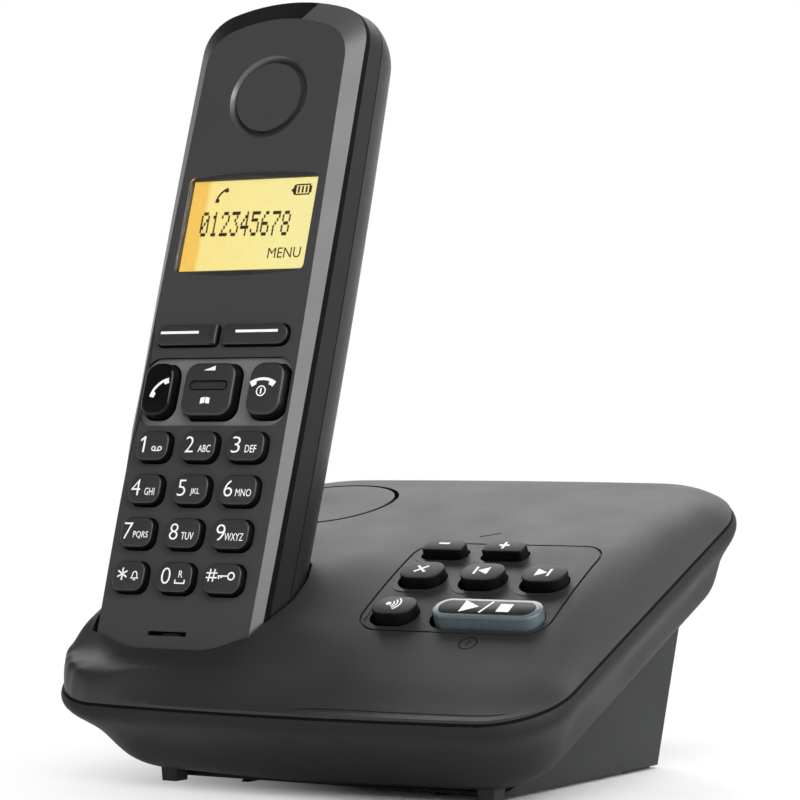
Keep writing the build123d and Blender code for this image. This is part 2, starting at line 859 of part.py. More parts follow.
contact_tip = seam_station[5] - 0.25
contact_foot = -141.2
contact_depth = 7.2
contact_thickness = 1.0
with BuildPart() as base_charge_contacts:
    for x in (-contact_x, contact_x):
        with Locations(face.offset(-contact_depth) * Location((x, (contact_tip + contact_foot) / 2, 0))):
            Box(contact_width, contact_tip - contact_foot, contact_thickness)
        with Locations(face.offset(-contact_depth - 3) * Location((x, contact_foot - 0.3, 0))):
            Box(contact_width, 0.6, 7.0)
save(base_charge_contacts, "base_charge_contacts")

screw_radius = 1.05
screw_length = 12.0
with BuildPart() as base_screws:
    for x, run in screw_places:
        seat = under_seam(x, run, head_seat)
        extrude(octagon_on(seat, screw_radius), amount=screw_length)
        extrude(octagon_on(seat, 2.6), amount=-1.8)
save(base_screws, "base_screws")

# ---------------------------------------------------------------- handset: shells

boss_places = ((-15.5, 8.5), (15.5, 8.5), (-14.5, -129.5), (14.5, -129.5))
handset_boss = 2.4
handset_screw_hole = 0.9


def on_face_at(u, v, level):
    """Plane along the face, at a place on it and a height above it."""
    return Plane(origin=face.from_local_coords((u, v, level)), x_dir=(1, 0, 0), z_dir=face.z_dir)


front_outside = handset_front()
front_inside = handset_front(-handset_wall)
back_outside = handset_back()
back_inside = handset_back(-handset_wall)

rocker_room = 0.5
with BuildPart() as handset_front_shell:
    add(front_outside)
    add(front_inside, mode=Mode.SUBTRACT)
    for u, v in boss_places:
        extrude(octagon_on(on_face_at(u, v, -1.2), handset_boss), amount=1.6 - seam_depth)
        hole = octagon_on(on_face_at(u, v, -handset_wall - 0.6), handset_screw_hole)
        extrude(hole, amount=-seam_depth, mode=Mode.SUBTRACT)
    # shallow tray round the three call keys
    with BuildSketch(face):
        add(rounded(talk_u + 13.7, call_recess_v, call_recess_width, call_recess_height, 4.0))
    extrude(amount=-call_recess_depth, mode=Mode.SUBTRACT)
    for outline in number_outlines.values():
        extrude(well_on(face.offset(-4), outline, number_corner, key_gap), amount=8, mode=Mode.SUBTRACT)
    for outline in (soft_left, soft_right):
        extrude(well_on(face.offset(-4), outline, soft_corner, key_gap), amount=8, mode=Mode.SUBTRACT)
    for outline in (talk_outline, end_outline):
        extrude(well_on(face.offset(-4), outline, call_corner, key_gap), amount=8, mode=Mode.SUBTRACT)
    rocker_well = well_on(face.offset(-4), rocker_outline, call_corner, rocker_room)
    extrude(rocker_well, amount=8, mode=Mode.SUBTRACT)
    # window with a ledge for its lens
    extrude(outline_on(face.offset(-lens_thickness - 0.05), window), amount=4, mode=Mode.SUBTRACT)
    with BuildSketch(face.offset(-4)):
        with Locations((0, (window_top + window_foot) / 2)):
            Rectangle(2 * window_half - 1.2, window_top - window_foot - 1.0)
    extrude(amount=8, mode=Mode.SUBTRACT)
    # dished opening of the earpiece
    with Locations(on_face_at(0, 0, 0)):
        Cone(
            earpiece_bore,
            earpiece_outer,
            handset_wall,
            align=(Align.CENTER, Align.CENTER, Align.MAX),
            mode=Mode.SUBTRACT,
        )
        Cylinder(earpiece_bore, 8, mode=Mode.SUBTRACT)
    with BuildSketch(face.offset(-4)):
        with Locations((-1.25, microphone_v)):
            Rectangle(9.9, 1.0)
    extrude(amount=8, mode=Mode.SUBTRACT)
    # recesses of the charging pads in the foot
    for u in (-contact_x, contact_x):
        with Locations(on_face_at(u, seam_station[5] + 0.2, -contact_depth)):
            Box(3.6, 1.2, 3.4, mode=Mode.SUBTRACT)
save(handset_front_shell, "handset_front_shell")

with BuildPart() as charge_pads:
    for u in (-contact_x, contact_x):
        with Locations(on_face_at(u, seam_station[5] + 0.5, -contact_depth)):
            Box(3.6, 0.6, 3.4)
save(charge_pads, "charge_pads")

cover_low = -90.5
cover_v = cover_low + cover_length / 2
cover_box = (2 * cover_half, cover_length, 12.0)
cover_depth = 19.0
seat_thickness = 1.4  # of the ledge round the well that the cover lies on
with BuildPart() as well_block:
    with Locations(on_face_at(0, cell_v, -well_floor + well_wall)):
        Box(
            2 * (well_half + well_wall),
            well_length + 2 * well_wall,
            cover_depth - well_floor + well_wall,
            align=(Align.CENTER, Align.CENTER, Align.MAX),
        )
    with Locations(on_face_at(0, cover_v, seat_thickness - cover_depth)):
        Box(40, cover_length + 4, seat_thickness, align=(Align.CENTER, Align.CENTER, Align.MAX))
    add(back_outside, mode=Mode.INTERSECT)

with BuildPart() as back_posts:
    for u, v in boss_places:
        extrude(octagon_on(on_face_at(u, v, -seam_depth), handset_boss), amount=-20)
    add(back_outside, mode=Mode.INTERSECT)

back_head_seat = 12.2
with BuildPart() as handset_rear_shell:
    add(back_outside)
    add(back_inside, mode=Mode.SUBTRACT)
    add(well_block.part)
    add(back_posts.part)
    with Locations(on_face_at(0, cell_v, -well_floor)):
        Box(
            2 * well_half,
            well_length,
            30,
            align=(Align.CENTER, Align.CENTER, Align.MAX),
            mode=Mode.SUBTRACT,
        )
    with Locations(on_face_at(0, cover_v, -cover_depth)):
        Box(*cover_box, align=(Align.CENTER, Align.CENTER, Align.MAX), mode=Mode.SUBTRACT)
    for u, v in boss_places:
        extrude(octagon_on(on_face_at(u, v, 1 - seam_depth), 1.2), amount=-20, mode=Mode.SUBTRACT)
        extrude(octagon_on(on_face_at(u, v, -back_head_seat), 2.0), amount=-20, mode=Mode.SUBTRACT)
save(handset_rear_shell, "handset_rear_shell")

with BuildPart() as battery_cover:
    add(back_outside)
    add(back_inside, mode=Mode.SUBTRACT)
    with Locations(on_face_at(0, cover_v, -cover_depth - cover_gap)):
        Box(
            cover_box[0] - 2 * cover_gap,
            cover_box[1] - 2 * cover_gap,
            cover_box[2],
            align=(Align.CENTER, Align.CENTER, Align.MAX),
            mode=Mode.INTERSECT,
        )
save(battery_cover, "battery_cover")

# ---------------------------------------------------------------- handset: window, sound and boards

with BuildPart() as display_window:
    extrude(outline_on(face.offset(-lens_thickness), window, -0.06), amount=lens_thickness - 0.15)
save(display_window, "display_window")

display_top = 1.8
display_v = (window_top + window_foot) / 2
with BuildPart() as display_module:
    with Locations(on_face_at(0, display_v, -display_top)):
        Box(37.0, 27.0, board_top - display_top, align=(Align.CENTER, Align.CENTER, Align.MAX))
    chamfer(display_module.faces().sort_by(Axis(face.origin, face.z_dir))[-1].edges(), 0.3)
save(display_module, "display_module")

with BuildPart() as earpiece_disc:
    with Locations(on_face_at(0, 0, -0.1)):
        Cylinder(earpiece_disc_radius, handset_wall, align=(Align.CENTER, Align.CENTER, Align.MAX))
    with Locations(on_face_at(0, 0, -handset_wall)):
        Cylinder(earpiece_bore + 1.2, 0.8, align=(Align.CENTER, Align.CENTER, Align.MAX))
save(earpiece_disc, "earpiece_disc")

with BuildPart() as earpiece_speaker:
    with Locations(on_face_at(0, 0, -handset_wall - 0.8)):
        Cylinder(9.4, board_top - handset_wall - 0.8, align=(Align.CENTER, Align.CENTER, Align.MAX))
save(earpiece_speaker, "earpiece_speaker")

with BuildPart() as microphone:
    capsule = octagon_on(on_face_at(-1.25, microphone_v, -handset_wall - 0.1), 2.4)
    extrude(capsule, amount=handset_wall + 0.1 - board_top)
save(microphone, "microphone")

with BuildPart() as handset_circuit_board:
    with BuildSketch(face.offset(-board_top)):
        with Locations((0, -59.5)):
            Rectangle(37.6, 147.0)
        with Locations(*boss_places):
            RegularPolygon(handset_boss + 0.4, 8, mode=Mode.SUBTRACT)
    extrude(amount=-board_thickness)
save(handset_circuit_board, "handset_circuit_board")

with BuildPart() as handset_key_mat:
    with BuildSketch(face.offset(-board_top)):
        with Locations((0, -88.0)):
            Rectangle(37.6, 66.0)
    extrude(amount=board_top - mat_top)
save(handset_key_mat, "handset_key_mat")

# ---------------------------------------------------------------- handset: keys

for name, outline in number_outlines.items():
    save(handset_key(outline, number_rise), f"key_{name}")
save(handset_key(soft_left, soft_rise), "soft_key_left")
save(handset_key(soft_right, soft_rise), "soft_key_right")
save(handset_key(talk_outline, call_key_rise, call_key_draft), "talk_key")

pin_radius = 0.4
pin_reach = 0.9  # beyond the flange, into the housing's bearings
with BuildPart() as rocker_key:
    rocker_cap = key_cap(
        face, rocker_outline, call_key_rise, -rocker_flange_foot, 0.5, flange_margin, call_key_draft
    )
    add(rocker_cap.part)
    with Locations(on_face_at(rocker_u, call_key_v, -rocker_axis)):
        Cylinder(pin_radius, rocker_width + 2 * (flange_margin + pin_reach), rotation=(0, 90, 0))
save(rocker_key, "rocker_key")
save(handset_key(end_outline, call_key_rise, call_key_draft), "end_key")

# ---------------------------------------------------------------- handset: cells and screws

with BuildPart() as batteries:
    for side in (-1, 1):
        with Locations(on_face_at(side * (cell_radius + 0.2), cell_v, -cell_depth)):
            Cylinder(cell_radius, cell_length, rotation=(90, 0, 0))
save(batteries, "batteries")

plate_thickness = 0.5
with BuildPart() as battery_contacts:
    for side in (-1, 1):
        for end in (-1, 1):
            v = cell_v + end * (well_length / 2 - plate_thickness / 2)
            with Locations(on_face_at(side * (cell_radius + 0.2), v, -cell_depth)):
                Box(7.0, plate_thickness, 7.0)
save(battery_contacts, "battery_contacts")

with BuildPart() as handset_screws:
    for u, v in boss_places:
        seat = on_face_at(u, v, -back_head_seat)
        extrude(octagon_on(seat, 0.85), amount=9.0)
        extrude(octagon_on(seat, 1.8), amount=-1.2)
save(handset_screws, "handset_screws")
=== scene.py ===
import json
import math
import re
from collections import Counter

import bmesh
import bpy
from mathutils import Matrix, Vector


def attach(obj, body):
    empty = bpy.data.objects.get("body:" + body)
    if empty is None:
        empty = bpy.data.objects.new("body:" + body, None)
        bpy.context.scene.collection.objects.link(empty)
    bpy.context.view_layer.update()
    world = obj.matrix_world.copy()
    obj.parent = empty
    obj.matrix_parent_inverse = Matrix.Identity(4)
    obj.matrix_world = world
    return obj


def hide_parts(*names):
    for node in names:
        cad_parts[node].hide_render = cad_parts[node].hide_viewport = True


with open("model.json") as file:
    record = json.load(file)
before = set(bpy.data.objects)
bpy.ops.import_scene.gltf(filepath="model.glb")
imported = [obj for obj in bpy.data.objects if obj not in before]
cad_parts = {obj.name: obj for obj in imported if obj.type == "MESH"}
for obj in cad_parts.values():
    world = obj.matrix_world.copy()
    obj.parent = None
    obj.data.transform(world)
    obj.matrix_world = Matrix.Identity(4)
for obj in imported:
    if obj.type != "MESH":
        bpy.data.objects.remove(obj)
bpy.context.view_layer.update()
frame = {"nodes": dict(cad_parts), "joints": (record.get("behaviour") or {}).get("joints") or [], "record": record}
nodes = frame["nodes"]
mm = 0.001
bodyOf = {node: body for body, members in frame["record"]["behaviour"]["bodies"].items() for node in members}
slotOf = {entry["node"]: entry["material_slot"] for entry in frame["record"]["subparts"]}
axisOf = {joint["name"]: Vector(joint["axis"]).normalized() for joint in frame["joints"]}
across = Vector((1, 0, 0))
small = 0.02 * mm  # points closer than this count as level
facing = 0.9  # a face looks along an axis when its normal's share of it is over this


def planeAt(origin, upward, outward):  # x to the right, y up the surface, z out of it
    turn = Matrix((across, upward, outward)).transposed()
    return Matrix.Translation(origin) @ turn.to_4x4()


def middleOf(low, high):
    return (low + high) / 2


def pointsOn(node, plane):
    inverse = plane.inverted()
    return [inverse @ vertex.co for vertex in nodes[node].data.vertices]


def spanOf(points):
    low = Vector([min(point[i] for point in points) for i in range(3)])
    high = Vector([max(point[i] for point in points) for i in range(3)])
    return low, high


def topOf(node, plane, depth=0.3 * mm):  # extents of the end of a node that stands highest on the plane
    points = pointsOn(node, plane)
    high = max(point.z for point in points)
    return spanOf([point for point in points if point.z > high - depth])


# the handset's face and the base's key panel, from the directions their keys press in
faceTurn = planeAt(Vector(), axisOf["handset_lift"], -axisOf["key_5_press"])
discLow, discHigh = spanOf(pointsOn("earpiece_disc", faceTurn))
shellTop = spanOf(pointsOn("handset_front_shell", faceTurn))[1].z
faceOrigin = faceTurn @ Vector((*middleOf(discLow, discHigh).xy, shellTop))
face = planeAt(faceOrigin, axisOf["handset_lift"], -axisOf["key_5_press"])

panelOut = -axisOf["button_back_press"]
panelTurn = planeAt(Vector(), panelOut.cross(across), panelOut)
keyLow, keyHigh = topOf("button_back", panelTurn)
panelOrigin = panelTurn @ Vector((*middleOf(keyLow, keyHigh).xy, keyHigh.z))
panel = planeAt(panelOrigin, panelOut.cross(across), panelOut)
print("planes found")

# finishes of the housings, keys, marks and inner parts


def setInputs(node, values):
    for socket, value in values.items():
        node.inputs[socket].default_value = value
    return node


def addNode(tree, kind, values=None):
    return setInputs(tree.nodes.new("ShaderNode" + kind), values or {})


def linkUp(tree, *links):  # each link is a node and its output, then a node and its input
    for source, output, target, socket in links:
        tree.links.new(source.outputs[output], target.inputs[socket])


def newMaterial(name, values):
    material = bpy.data.materials.new(name)
    material.use_nodes = True
    tree = material.node_tree
    return material, tree, setInputs(tree.nodes["Principled BSDF"], values)


textureLook = {"fineDetail": 3, "broadScale": 60, "broadDetail": 4, "reliefDepth": 0.05 * mm,
               "coatRoughness": 0.06, "smoothest": 0.02}


def moulded(name, color, roughness, grain=0.35, bump=0.25, spread=0.1, shade=0.12, coat=0.0, shine=0.5):
    # grain: size of the surface texture in mm, spread: change of roughness, shade: change of colour
    color = color if isinstance(color, tuple) else (color,) * 3
    material, tree, surface = newMaterial(name, {
        "Specular IOR Level": shine, "Coat Weight": coat, "Coat Roughness": textureLook["coatRoughness"]})
    place = addNode(tree, "TexCoord")
    fine = addNode(tree, "TexNoise", {"Scale": 1 / (grain * mm), "Detail": textureLook["fineDetail"]})
    broad = addNode(tree, "TexNoise", {"Scale": textureLook["broadScale"], "Detail": textureLook["broadDetail"]})
    relief = addNode(tree, "Bump", {"Strength": bump, "Distance": textureLook["reliefDepth"]})
    rough = addNode(tree, "MapRange", {"To Min": max(roughness - spread, textureLook["smoothest"]),
                                       "To Max": min(roughness + spread, 1)})
    # sockets 6 and 7 of a mix are its two colours, and 2 is the mixed one
    tint = addNode(tree, "Mix", {6: [part * (1 - shade) for part in color] + [1],
                                 7: [part * (1 + shade) for part in color] + [1]})
    tint.data_type = "RGBA"
    linkUp(tree, (place, "Object", fine, "Vector"), (place, "Object", broad, "Vector"),
           (fine, "Fac", relief, "Height"), (relief, "Normal", surface, "Normal"),
           (broad, "Fac", rough, "Value"), (rough, "Result", surface, "Roughness"),
           (fine, "Fac", tint, 0), (tint, 2, surface, "Base Color"))
    return material


def metal(name, color, roughness, grain=0.6):
    material = moulded(name, color, roughness, grain, bump=0.15, spread=0.12, shade=0.08)
    setInputs(material.node_tree.nodes["Principled BSDF"], {"Metallic": 1})
    return material


# colour (one number for a grey), roughness, and what differs from the usual moulding
finishLooks = {
    "topCase": (0.018, 0.46, dict(grain=0.3, bump=0.5, shine=0.4)),
    "bottomCase": (0.017, 0.55, dict(grain=0.3, bump=0.5, shine=0.14)),
    "stand": ((0.016, 0.017, 0.017), 0.6, dict(grain=0.4, bump=0.4, shine=0.25)),
    "faceMatte": (0.036, 0.5, dict(grain=0.22, bump=0.4)),
    "trayFloor": ((0.16, 0.16, 0.163), 0.4, dict(grain=0.25, bump=0.2)),
    "frameGloss": (0.003, 0.28, dict(grain=2.5, bump=0.03, spread=0.03, shine=0.25)),
    # lighter grey for the right part of the polished edge: a painted reflection of the lamp on the right
    "edgeSatin": ((0.065, 0.065, 0.066), 0.34, dict(grain=0.6, bump=0.05)),
    "sideSatin": (0.007, 0.42, dict(grain=0.3, bump=0.2, shine=0.25)),
    "rearSatin": (0.012, 0.38, dict(grain=0.3, bump=0.2, shine=0.35)),
    "ringSatin": (0.05, 0.3, dict(grain=0.5, bump=0.05, shine=1.0)),
    "screenEdge": ((0.11, 0.06, 0.02), 0.4, dict(grain=0.6, bump=0.05, shine=0.3)),
    "shadowLine": (0.002, 0.8, dict(shine=0.1)),
    "keySatin": (0.025, 0.38, dict(grain=0.3, bump=0.15)),
    # near black for the skirts of the keys: painted shade on their sides
    "keySide": (0.002, 0.45, dict(grain=0.3, bump=0.1, shine=0.15)),
    "keyGloss": ((0.002, 0.002, 0.003), 0.16, dict(grain=2.0, bump=0.02, spread=0.03, shine=0.3)),
    "baseKey": (0.006, 0.42, dict(grain=0.28, bump=0.25, shine=0.25)),
    "keyRim": ((0.08, 0.104, 0.114), 0.25, dict(grain=1.5, bump=0.04, coat=0.25)),
    "legend": ((0.86, 0.87, 0.87), 0.5, dict(grain=0.2, bump=0.05, spread=0.04, shade=0.02)),
    # near black, for the marks pressed into the top shell and for the painted shade round the rocker's groove
    "engraved": (0.001, 0.8, dict(shine=0.05)),
    "rubber": (0.022, 0.75, dict(grain=0.5, bump=0.6)),
    "silicone": ((0.42, 0.43, 0.43), 0.6, dict(grain=0.6, bump=0.3)),
    "board": ((0.03, 0.13, 0.06), 0.35, dict(grain=1.2, bump=0.5, shade=0.4)),
    "cone": ((0.035, 0.034, 0.033), 0.8, dict(grain=0.8, bump=0.8)),
    "socket": ((0.045, 0.045, 0.046), 0.4, dict(grain=0.5, bump=0.2)),
    "cell": ((0.1, 0.22, 0.42), 0.3, dict(grain=1.0, bump=0.05, shade=0.2)),
    "screenInk": ((0.05, 0.03, 0.012), 0.6, dict(grain=0.4, bump=0.05, shine=0.2)),
}
finishes = {}
for name, (color, roughness, more) in finishLooks.items():
    finishes[name] = moulded(name, color, roughness, **more)
finishes["contact"] = metal("contact", (0.76, 0.62, 0.36), 0.25)
finishes["steel"] = metal("steel", (0.62, 0.62, 0.63), 0.3)

# finish of each CAD node's material slot, where the node itself shows
slotFinish = {
    "top_case": "topCase", "bottom_case": "bottomCase", "stand": "stand", "rubber": "rubber",
    "handset_front": "faceMatte", "handset_rear": "rearSatin", "handset_key": "keySatin",
    "gloss_key": "keyGloss", "base_key": "baseKey", "key_rim": "keyRim", "window": "lens",
    "screen": "cone", "silicone": "silicone", "board": "board", "speaker": "cone",
    "contact": "contact", "steel": "steel", "cell": "cell", "socket": "socket",
}

lensLook = {"color": (0.98, 0.97, 0.94, 1), "bending": 1.2, "hazeScale": 300, "clear": 0.01, "hazy": 0.06}


def lensGlass():
    material, tree, surface = newMaterial("lens", {
        "Base Color": lensLook["color"], "Transmission Weight": 1, "IOR": lensLook["bending"]})
    place = addNode(tree, "TexCoord")
    haze = addNode(tree, "TexNoise", {"Scale": lensLook["hazeScale"]})
    rough = addNode(tree, "MapRange", {"To Min": lensLook["clear"], "To Max": lensLook["hazy"]})
    linkUp(tree, (place, "Object", haze, "Vector"), (haze, "Fac", rough, "Value"),
           (rough, "Result", surface, "Roughness"))
    return material


# amber light, deeper in a band at the left that ends at a share of the width, step
lightLook = {"unlit": (0.12, 0.08, 0.03, 1), "roughness": 0.5, "strength": 0.95,
             "band": (0.95, 0.597, 0.105, 1), "field": (0.99, 0.84, 0.305, 1), "far": (0.97, 0.905, 0.402, 1),
             "step": 0.14, "bandSoft": 0.02, "fieldSoft": 0.01, "pixelScale": 900, "pixelShade": 0.12}


def litScreen(left, right):  # lit from one place across the handset to another
    material, tree, surface = newMaterial("litScreen", {
        "Base Color": lightLook["unlit"], "Roughness": lightLook["roughness"],
        "Emission Strength": lightLook["strength"]})
    place = addNode(tree, "TexCoord")
    parts = addNode(tree, "SeparateXYZ")
    share = addNode(tree, "MapRange", {"From Min": left, "From Max": right})
    ramp = addNode(tree, "ValToRGB")
    stops = ramp.color_ramp.elements
    stops[0].position, stops[0].color = lightLook["step"] - lightLook["bandSoft"], lightLook["band"]
    stops[1].position, stops[1].color = 1, lightLook["far"]
    middle = stops.new(lightLook["step"] + lightLook["fieldSoft"])
    middle.color = lightLook["field"]
    pixels = addNode(tree, "TexNoise", {"Scale": lightLook["pixelScale"]})
    tint = addNode(tree, "Mix", {0: lightLook["pixelShade"]})
    tint.data_type = "RGBA"
    tint.blend_type = "MULTIPLY"
    linkUp(tree, (place, "Object", parts, "Vector"), (parts, "X", share, "Value"),
           (share, "Result", ramp, "Fac"), (place, "Object", pixels, "Vector"),
           (ramp, "Color", tint, 6), (pixels, "Fac", tint, 7), (tint, 2, surface, "Emission Color"))
    return material


finishes["lens"] = lensGlass()
for node, piece in nodes.items():
    piece.data.materials.clear()
    piece.data.materials.append(finishes[slotFinish[slotOf[node]]])
nodes["earpiece_disc"].data.materials[0] = finishes["faceMatte"]
print("finishes made")

# what the pieces are modelled with


def enter(mode):
    bpy.ops.object.mode_set(mode=mode)


def deselectAll():
    if bpy.context.object and bpy.context.object.mode != "OBJECT":
        enter("OBJECT")
    bpy.ops.object.select_all(action="DESELECT")


def holdOnly(piece):
    deselectAll()
    piece.select_set(True)
    bpy.context.view_layer.objects.active = piece


def pick(kind, test):  # in edit mode: selects the faces or edges that pass a test
    bpy.ops.mesh.select_mode(type=kind)
    bpy.ops.mesh.select_all(action="DESELECT")
    data = bmesh.from_edit_mesh(bpy.context.object.data)
    for item in data.faces if kind == "FACE" else data.edges:
        if test(item):
            item.select_set(True)
    bmesh.update_edit_mesh(bpy.context.object.data)


def roundEdges(test, radius, segments):  # in edit mode: rounds the edges that pass a test
    pick("EDGE", test)
    bpy.ops.mesh.bevel(offset=radius, segments=segments, affect="EDGES")


def blockBetween(name, low, high):
    deselectAll()
    bpy.ops.mesh.primitive_cube_add(size=1, location=(low + high) / 2, scale=high - low)
    piece = bpy.context.object
    piece.name = piece.data.name = name
    bpy.ops.object.transform_apply(location=True, rotation=False, scale=True)
    return piece


def roundedBlock(name, low, high, *roundings):  # each rounding is a test, a radius and segments
    piece = blockBetween(name, low, high)
    enter("EDIT")
    for rounding in roundings:
        roundEdges(*rounding)
    enter("OBJECT")
    return piece


def settle(piece, plane):  # carries a piece from its drawing plane to its place, in its mesh
    holdOnly(piece)
    piece.matrix_world = plane @ piece.matrix_world
    bpy.ops.object.transform_apply(location=True, rotation=True, scale=True)


def dress(piece, finish, body):
    piece.data.materials.clear()
    piece.data.materials.append(finishes[finish])
    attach(piece, body)
    return piece


def smoothByAngle(piece, degrees=35):
    holdOnly(piece)
    bpy.ops.object.shade_smooth_by_angle(angle=math.radians(degrees))


mergeGap = 0.002 * mm


def copyOfNode(node, name):  # the node's own shape as one closed mesh, for the piece that stands for it
    piece = nodes[node].copy()
    piece.data = nodes[node].data.copy()
    piece.name = piece.data.name = name
    for key in list(piece.keys()):
        del piece[key]
    piece.parent = None
    bpy.context.scene.collection.objects.link(piece)
    holdOnly(piece)
    enter("EDIT")
    bpy.ops.mesh.select_all(action="SELECT")
    bpy.ops.mesh.remove_doubles(threshold=mergeGap)
    enter("OBJECT")
    bpy.ops.mesh.customdata_custom_splitnormals_clear()
    return piece


def creaseBetweenFinishes(piece):  # a hard edge wherever two finishes meet
    sides = {}
    for polygon in piece.data.polygons:
        for pair in polygon.edge_keys:
            sides.setdefault(pair, set()).add(polygon.material_index)
    for edge in piece.data.edges:
        if len(sides.get(edge.key, ())) > 1:
            edge.use_edge_sharp = True


def standFor(piece, node, finish, degrees=35):
    smoothByAngle(piece, degrees)
    dress(piece, finish, bodyOf[node])
    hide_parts(node)
    return piece


# shells of the handset and the base


def cutAcross(piece, plane, height):  # an edge loop round a piece at one height over a plane
    holdOnly(piece)
    enter("EDIT")
    bpy.ops.mesh.select_all(action="SELECT")
    bpy.ops.mesh.bisect(plane_co=plane @ Vector((0, 0, height)), plane_no=plane.to_3x3() @ Vector((0, 0, 1)))
    enter("OBJECT")


# depths under the face and places on it, from the earpiece's middle, in mm
frontLook = {
    "glossDepth": 2.6, "bandDepth": 4.3, "lineTop": 9.2, "trayDepth": 0.7, "trayLevel": 0.05, "flat": 0.97,
    # polished edge: how far it widens to the top, where the painted reflection on its right side starts, and its
    # ends
    "edgeShift": 2.0, "edgeFrom": 6, "edgeHalf": 20.7, "foot": -125,
    # vertices of the outline
    "sideFrom": 19.3, "headFrom": 10.5, "browFrom": -5, "browRadius": 12,
    # outer walls, and the line that they look away from
    "wallHalf": 17.9, "footEnd": -130, "footFrom": -122, "footHalf": 8, "headEnd": 5, "headRadius": 14,
    "spineTop": 5, "spineFoot": -118,
    # groove round the earpiece, and the window's opening
    "ringInner": 8.5, "ringOuter": 10.5, "ringSlope": 0.1,
    "windowHalf": 18, "windowLow": -44.3, "windowHigh": -17.7,
}
frontFinishes = ("faceMatte", "frameGloss", "sideSatin", "trayFloor", "shadowLine", "ringSatin", "screenEdge",
                 "edgeSatin")
frontShell = copyOfNode("handset_front_shell", "handset_front")
for depth in ("glossDepth", "bandDepth", "lineTop"):
    cutAcross(frontShell, face, -frontLook[depth] * mm)
faceInverse = face.inverted()
faceTurnBack = faceInverse.to_3x3()


def onOutline(x, y):
    atBrow = y > frontLook["browFrom"] and math.hypot(x, y) > frontLook["browRadius"]
    return abs(x) > frontLook["sideFrom"] or y > frontLook["headFrom"] or atBrow


for vertex in frontShell.data.vertices:  # widens the polished edge towards the top of the handset
    place = faceInverse @ vertex.co
    if abs(place.z) < small and onOutline(place.x / mm, place.y / mm):
        share = min(max(1 - place.y / mm / frontLook["foot"], 0), 1)
        place.x *= 1 - share * frontLook["edgeShift"] / frontLook["edgeHalf"]
        vertex.co = face @ place
standFor(frontShell, "handset_front_shell", "faceMatte", 28)
for extra in frontFinishes[1:]:
    frontShell.data.materials.append(finishes[extra])


def frontFinish(centre, normal):  # the finish of a polygon, by its place in mm and its direction
    look = frontLook
    x, y, z = centre
    radius = math.hypot(x, y)
    outward = x * normal.x + (y - max(min(y, look["spineTop"]), look["spineFoot"])) * normal.y
    atFoot = y < look["footEnd"] or (y < look["footFrom"] and abs(x) > look["footHalf"])
    atHead = y > look["headEnd"] and centre.length > look["headRadius"]
    if normal.z > look["flat"]:
        return "trayFloor" if abs(z + look["trayDepth"]) < look["trayLevel"] else "faceMatte"
    if look["ringInner"] < radius < look["ringOuter"] and normal.z > look["ringSlope"]:
        return "ringSatin"
    if outward > 0 and (abs(x) > look["wallHalf"] or atFoot or atHead):
        if z > -look["glossDepth"]:
            # on the right part of the polished edge, a lighter grey stands for a painted reflection of the lamp on
            # the right
            return "edgeSatin" if x > look["edgeFrom"] else "frameGloss"
        return "sideSatin" if -look["bandDepth"] > z > -look["lineTop"] else "shadowLine"
    if abs(x) < look["windowHalf"] and look["windowLow"] < y < look["windowHigh"]:
        return "screenEdge"
    return "shadowLine"


for polygon in frontShell.data.polygons:
    centre = (faceInverse @ polygon.center) / mm
    polygon.material_index = frontFinishes.index(frontFinish(centre, faceTurnBack @ polygon.normal))
creaseBetweenFinishes(frontShell)

standFor(copyOfNode("handset_rear_shell", "handset_back"), "handset_rear_shell", "rearSatin", 30)
standFor(copyOfNode("battery_cover", "battery_lid"), "battery_cover", "rearSatin", 30)
seamLook = {"tilt": 22, "above": 0.22, "below": 0.4}  # slope in degrees, reach of the dark line in mm
seamOut = Matrix.Rotation(math.radians(seamLook["tilt"]), 3, "X") @ Vector((0, 0, 1))
seamTurn = planeAt(Vector(), seamOut.cross(across), seamOut)
# the seam is the level that most of the shell's points lie on
seamLevel = Counter(round(point.z, 5) for point in pointsOn("base_top_shell", seamTurn)).most_common(1)[0][0]
seam = planeAt(seamOut * seamLevel, seamOut.cross(across), seamOut)
seamInverse = seam.inverted()
topShell = standFor(copyOfNode("base_top_shell", "top_shell"), "base_top_shell", "topCase", 40)
bottomShell = standFor(copyOfNode("base_bottom_shell", "bottom_shell"), "base_bottom_shell", "bottomCase", 35)
for shell, level in ((topShell, seamLook["above"] * mm), (bottomShell, -seamLook["below"] * mm)):
    cutAcross(shell, seam, level)
    shell.data.materials.append(finishes["shadowLine"])
    for polygon in shell.data.polygons:  # a dark line where the two halves part
        if abs(2 * (seamInverse @ polygon.center).z - level) < abs(level):
            polygon.material_index = 1
    smoothByAngle(shell, 40)
    creaseBetweenFinishes(shell)
standFor(copyOfNode("speaker_disc", "speaker_cover"), "speaker_disc", "topCase", 35)
standFor(copyOfNode("rear_stand", "stand_shell"), "rear_stand", "stand", 30)
print("shells dressed")

# keys, each a cap on a foot


def flangeOf(node, plane):  # extents of the foot that holds a key under the housing
    points = pointsOn(node, plane)
    low, high = spanOf(points)
    return spanOf([point for point in points if point.y < low.y + small or point.y > high.y - small])


def topEdge(item, level):  # whether an edge lies at a level and borders a wall
    atLevel = all(abs(corner.co.z - level) < small for corner in item.verts)
    return atLevel and any(near.normal.z < facing for near in item.link_faces)


def standing(item):  # whether an edge of a block runs up it
    return abs(item.verts[0].co.z - item.verts[1].co.z) > 10 * small


# upright: share of a cap's rise past which an edge runs up it; slopes: how far a face leans before it is skirt
keyLook = {"topDepth": 0.05 * mm, "upright": 0.9, "segments": 6, "edgeSegments": 4, "smooth": 50,
           "numberSlope": 0.8, "otherSlope": 0.7}


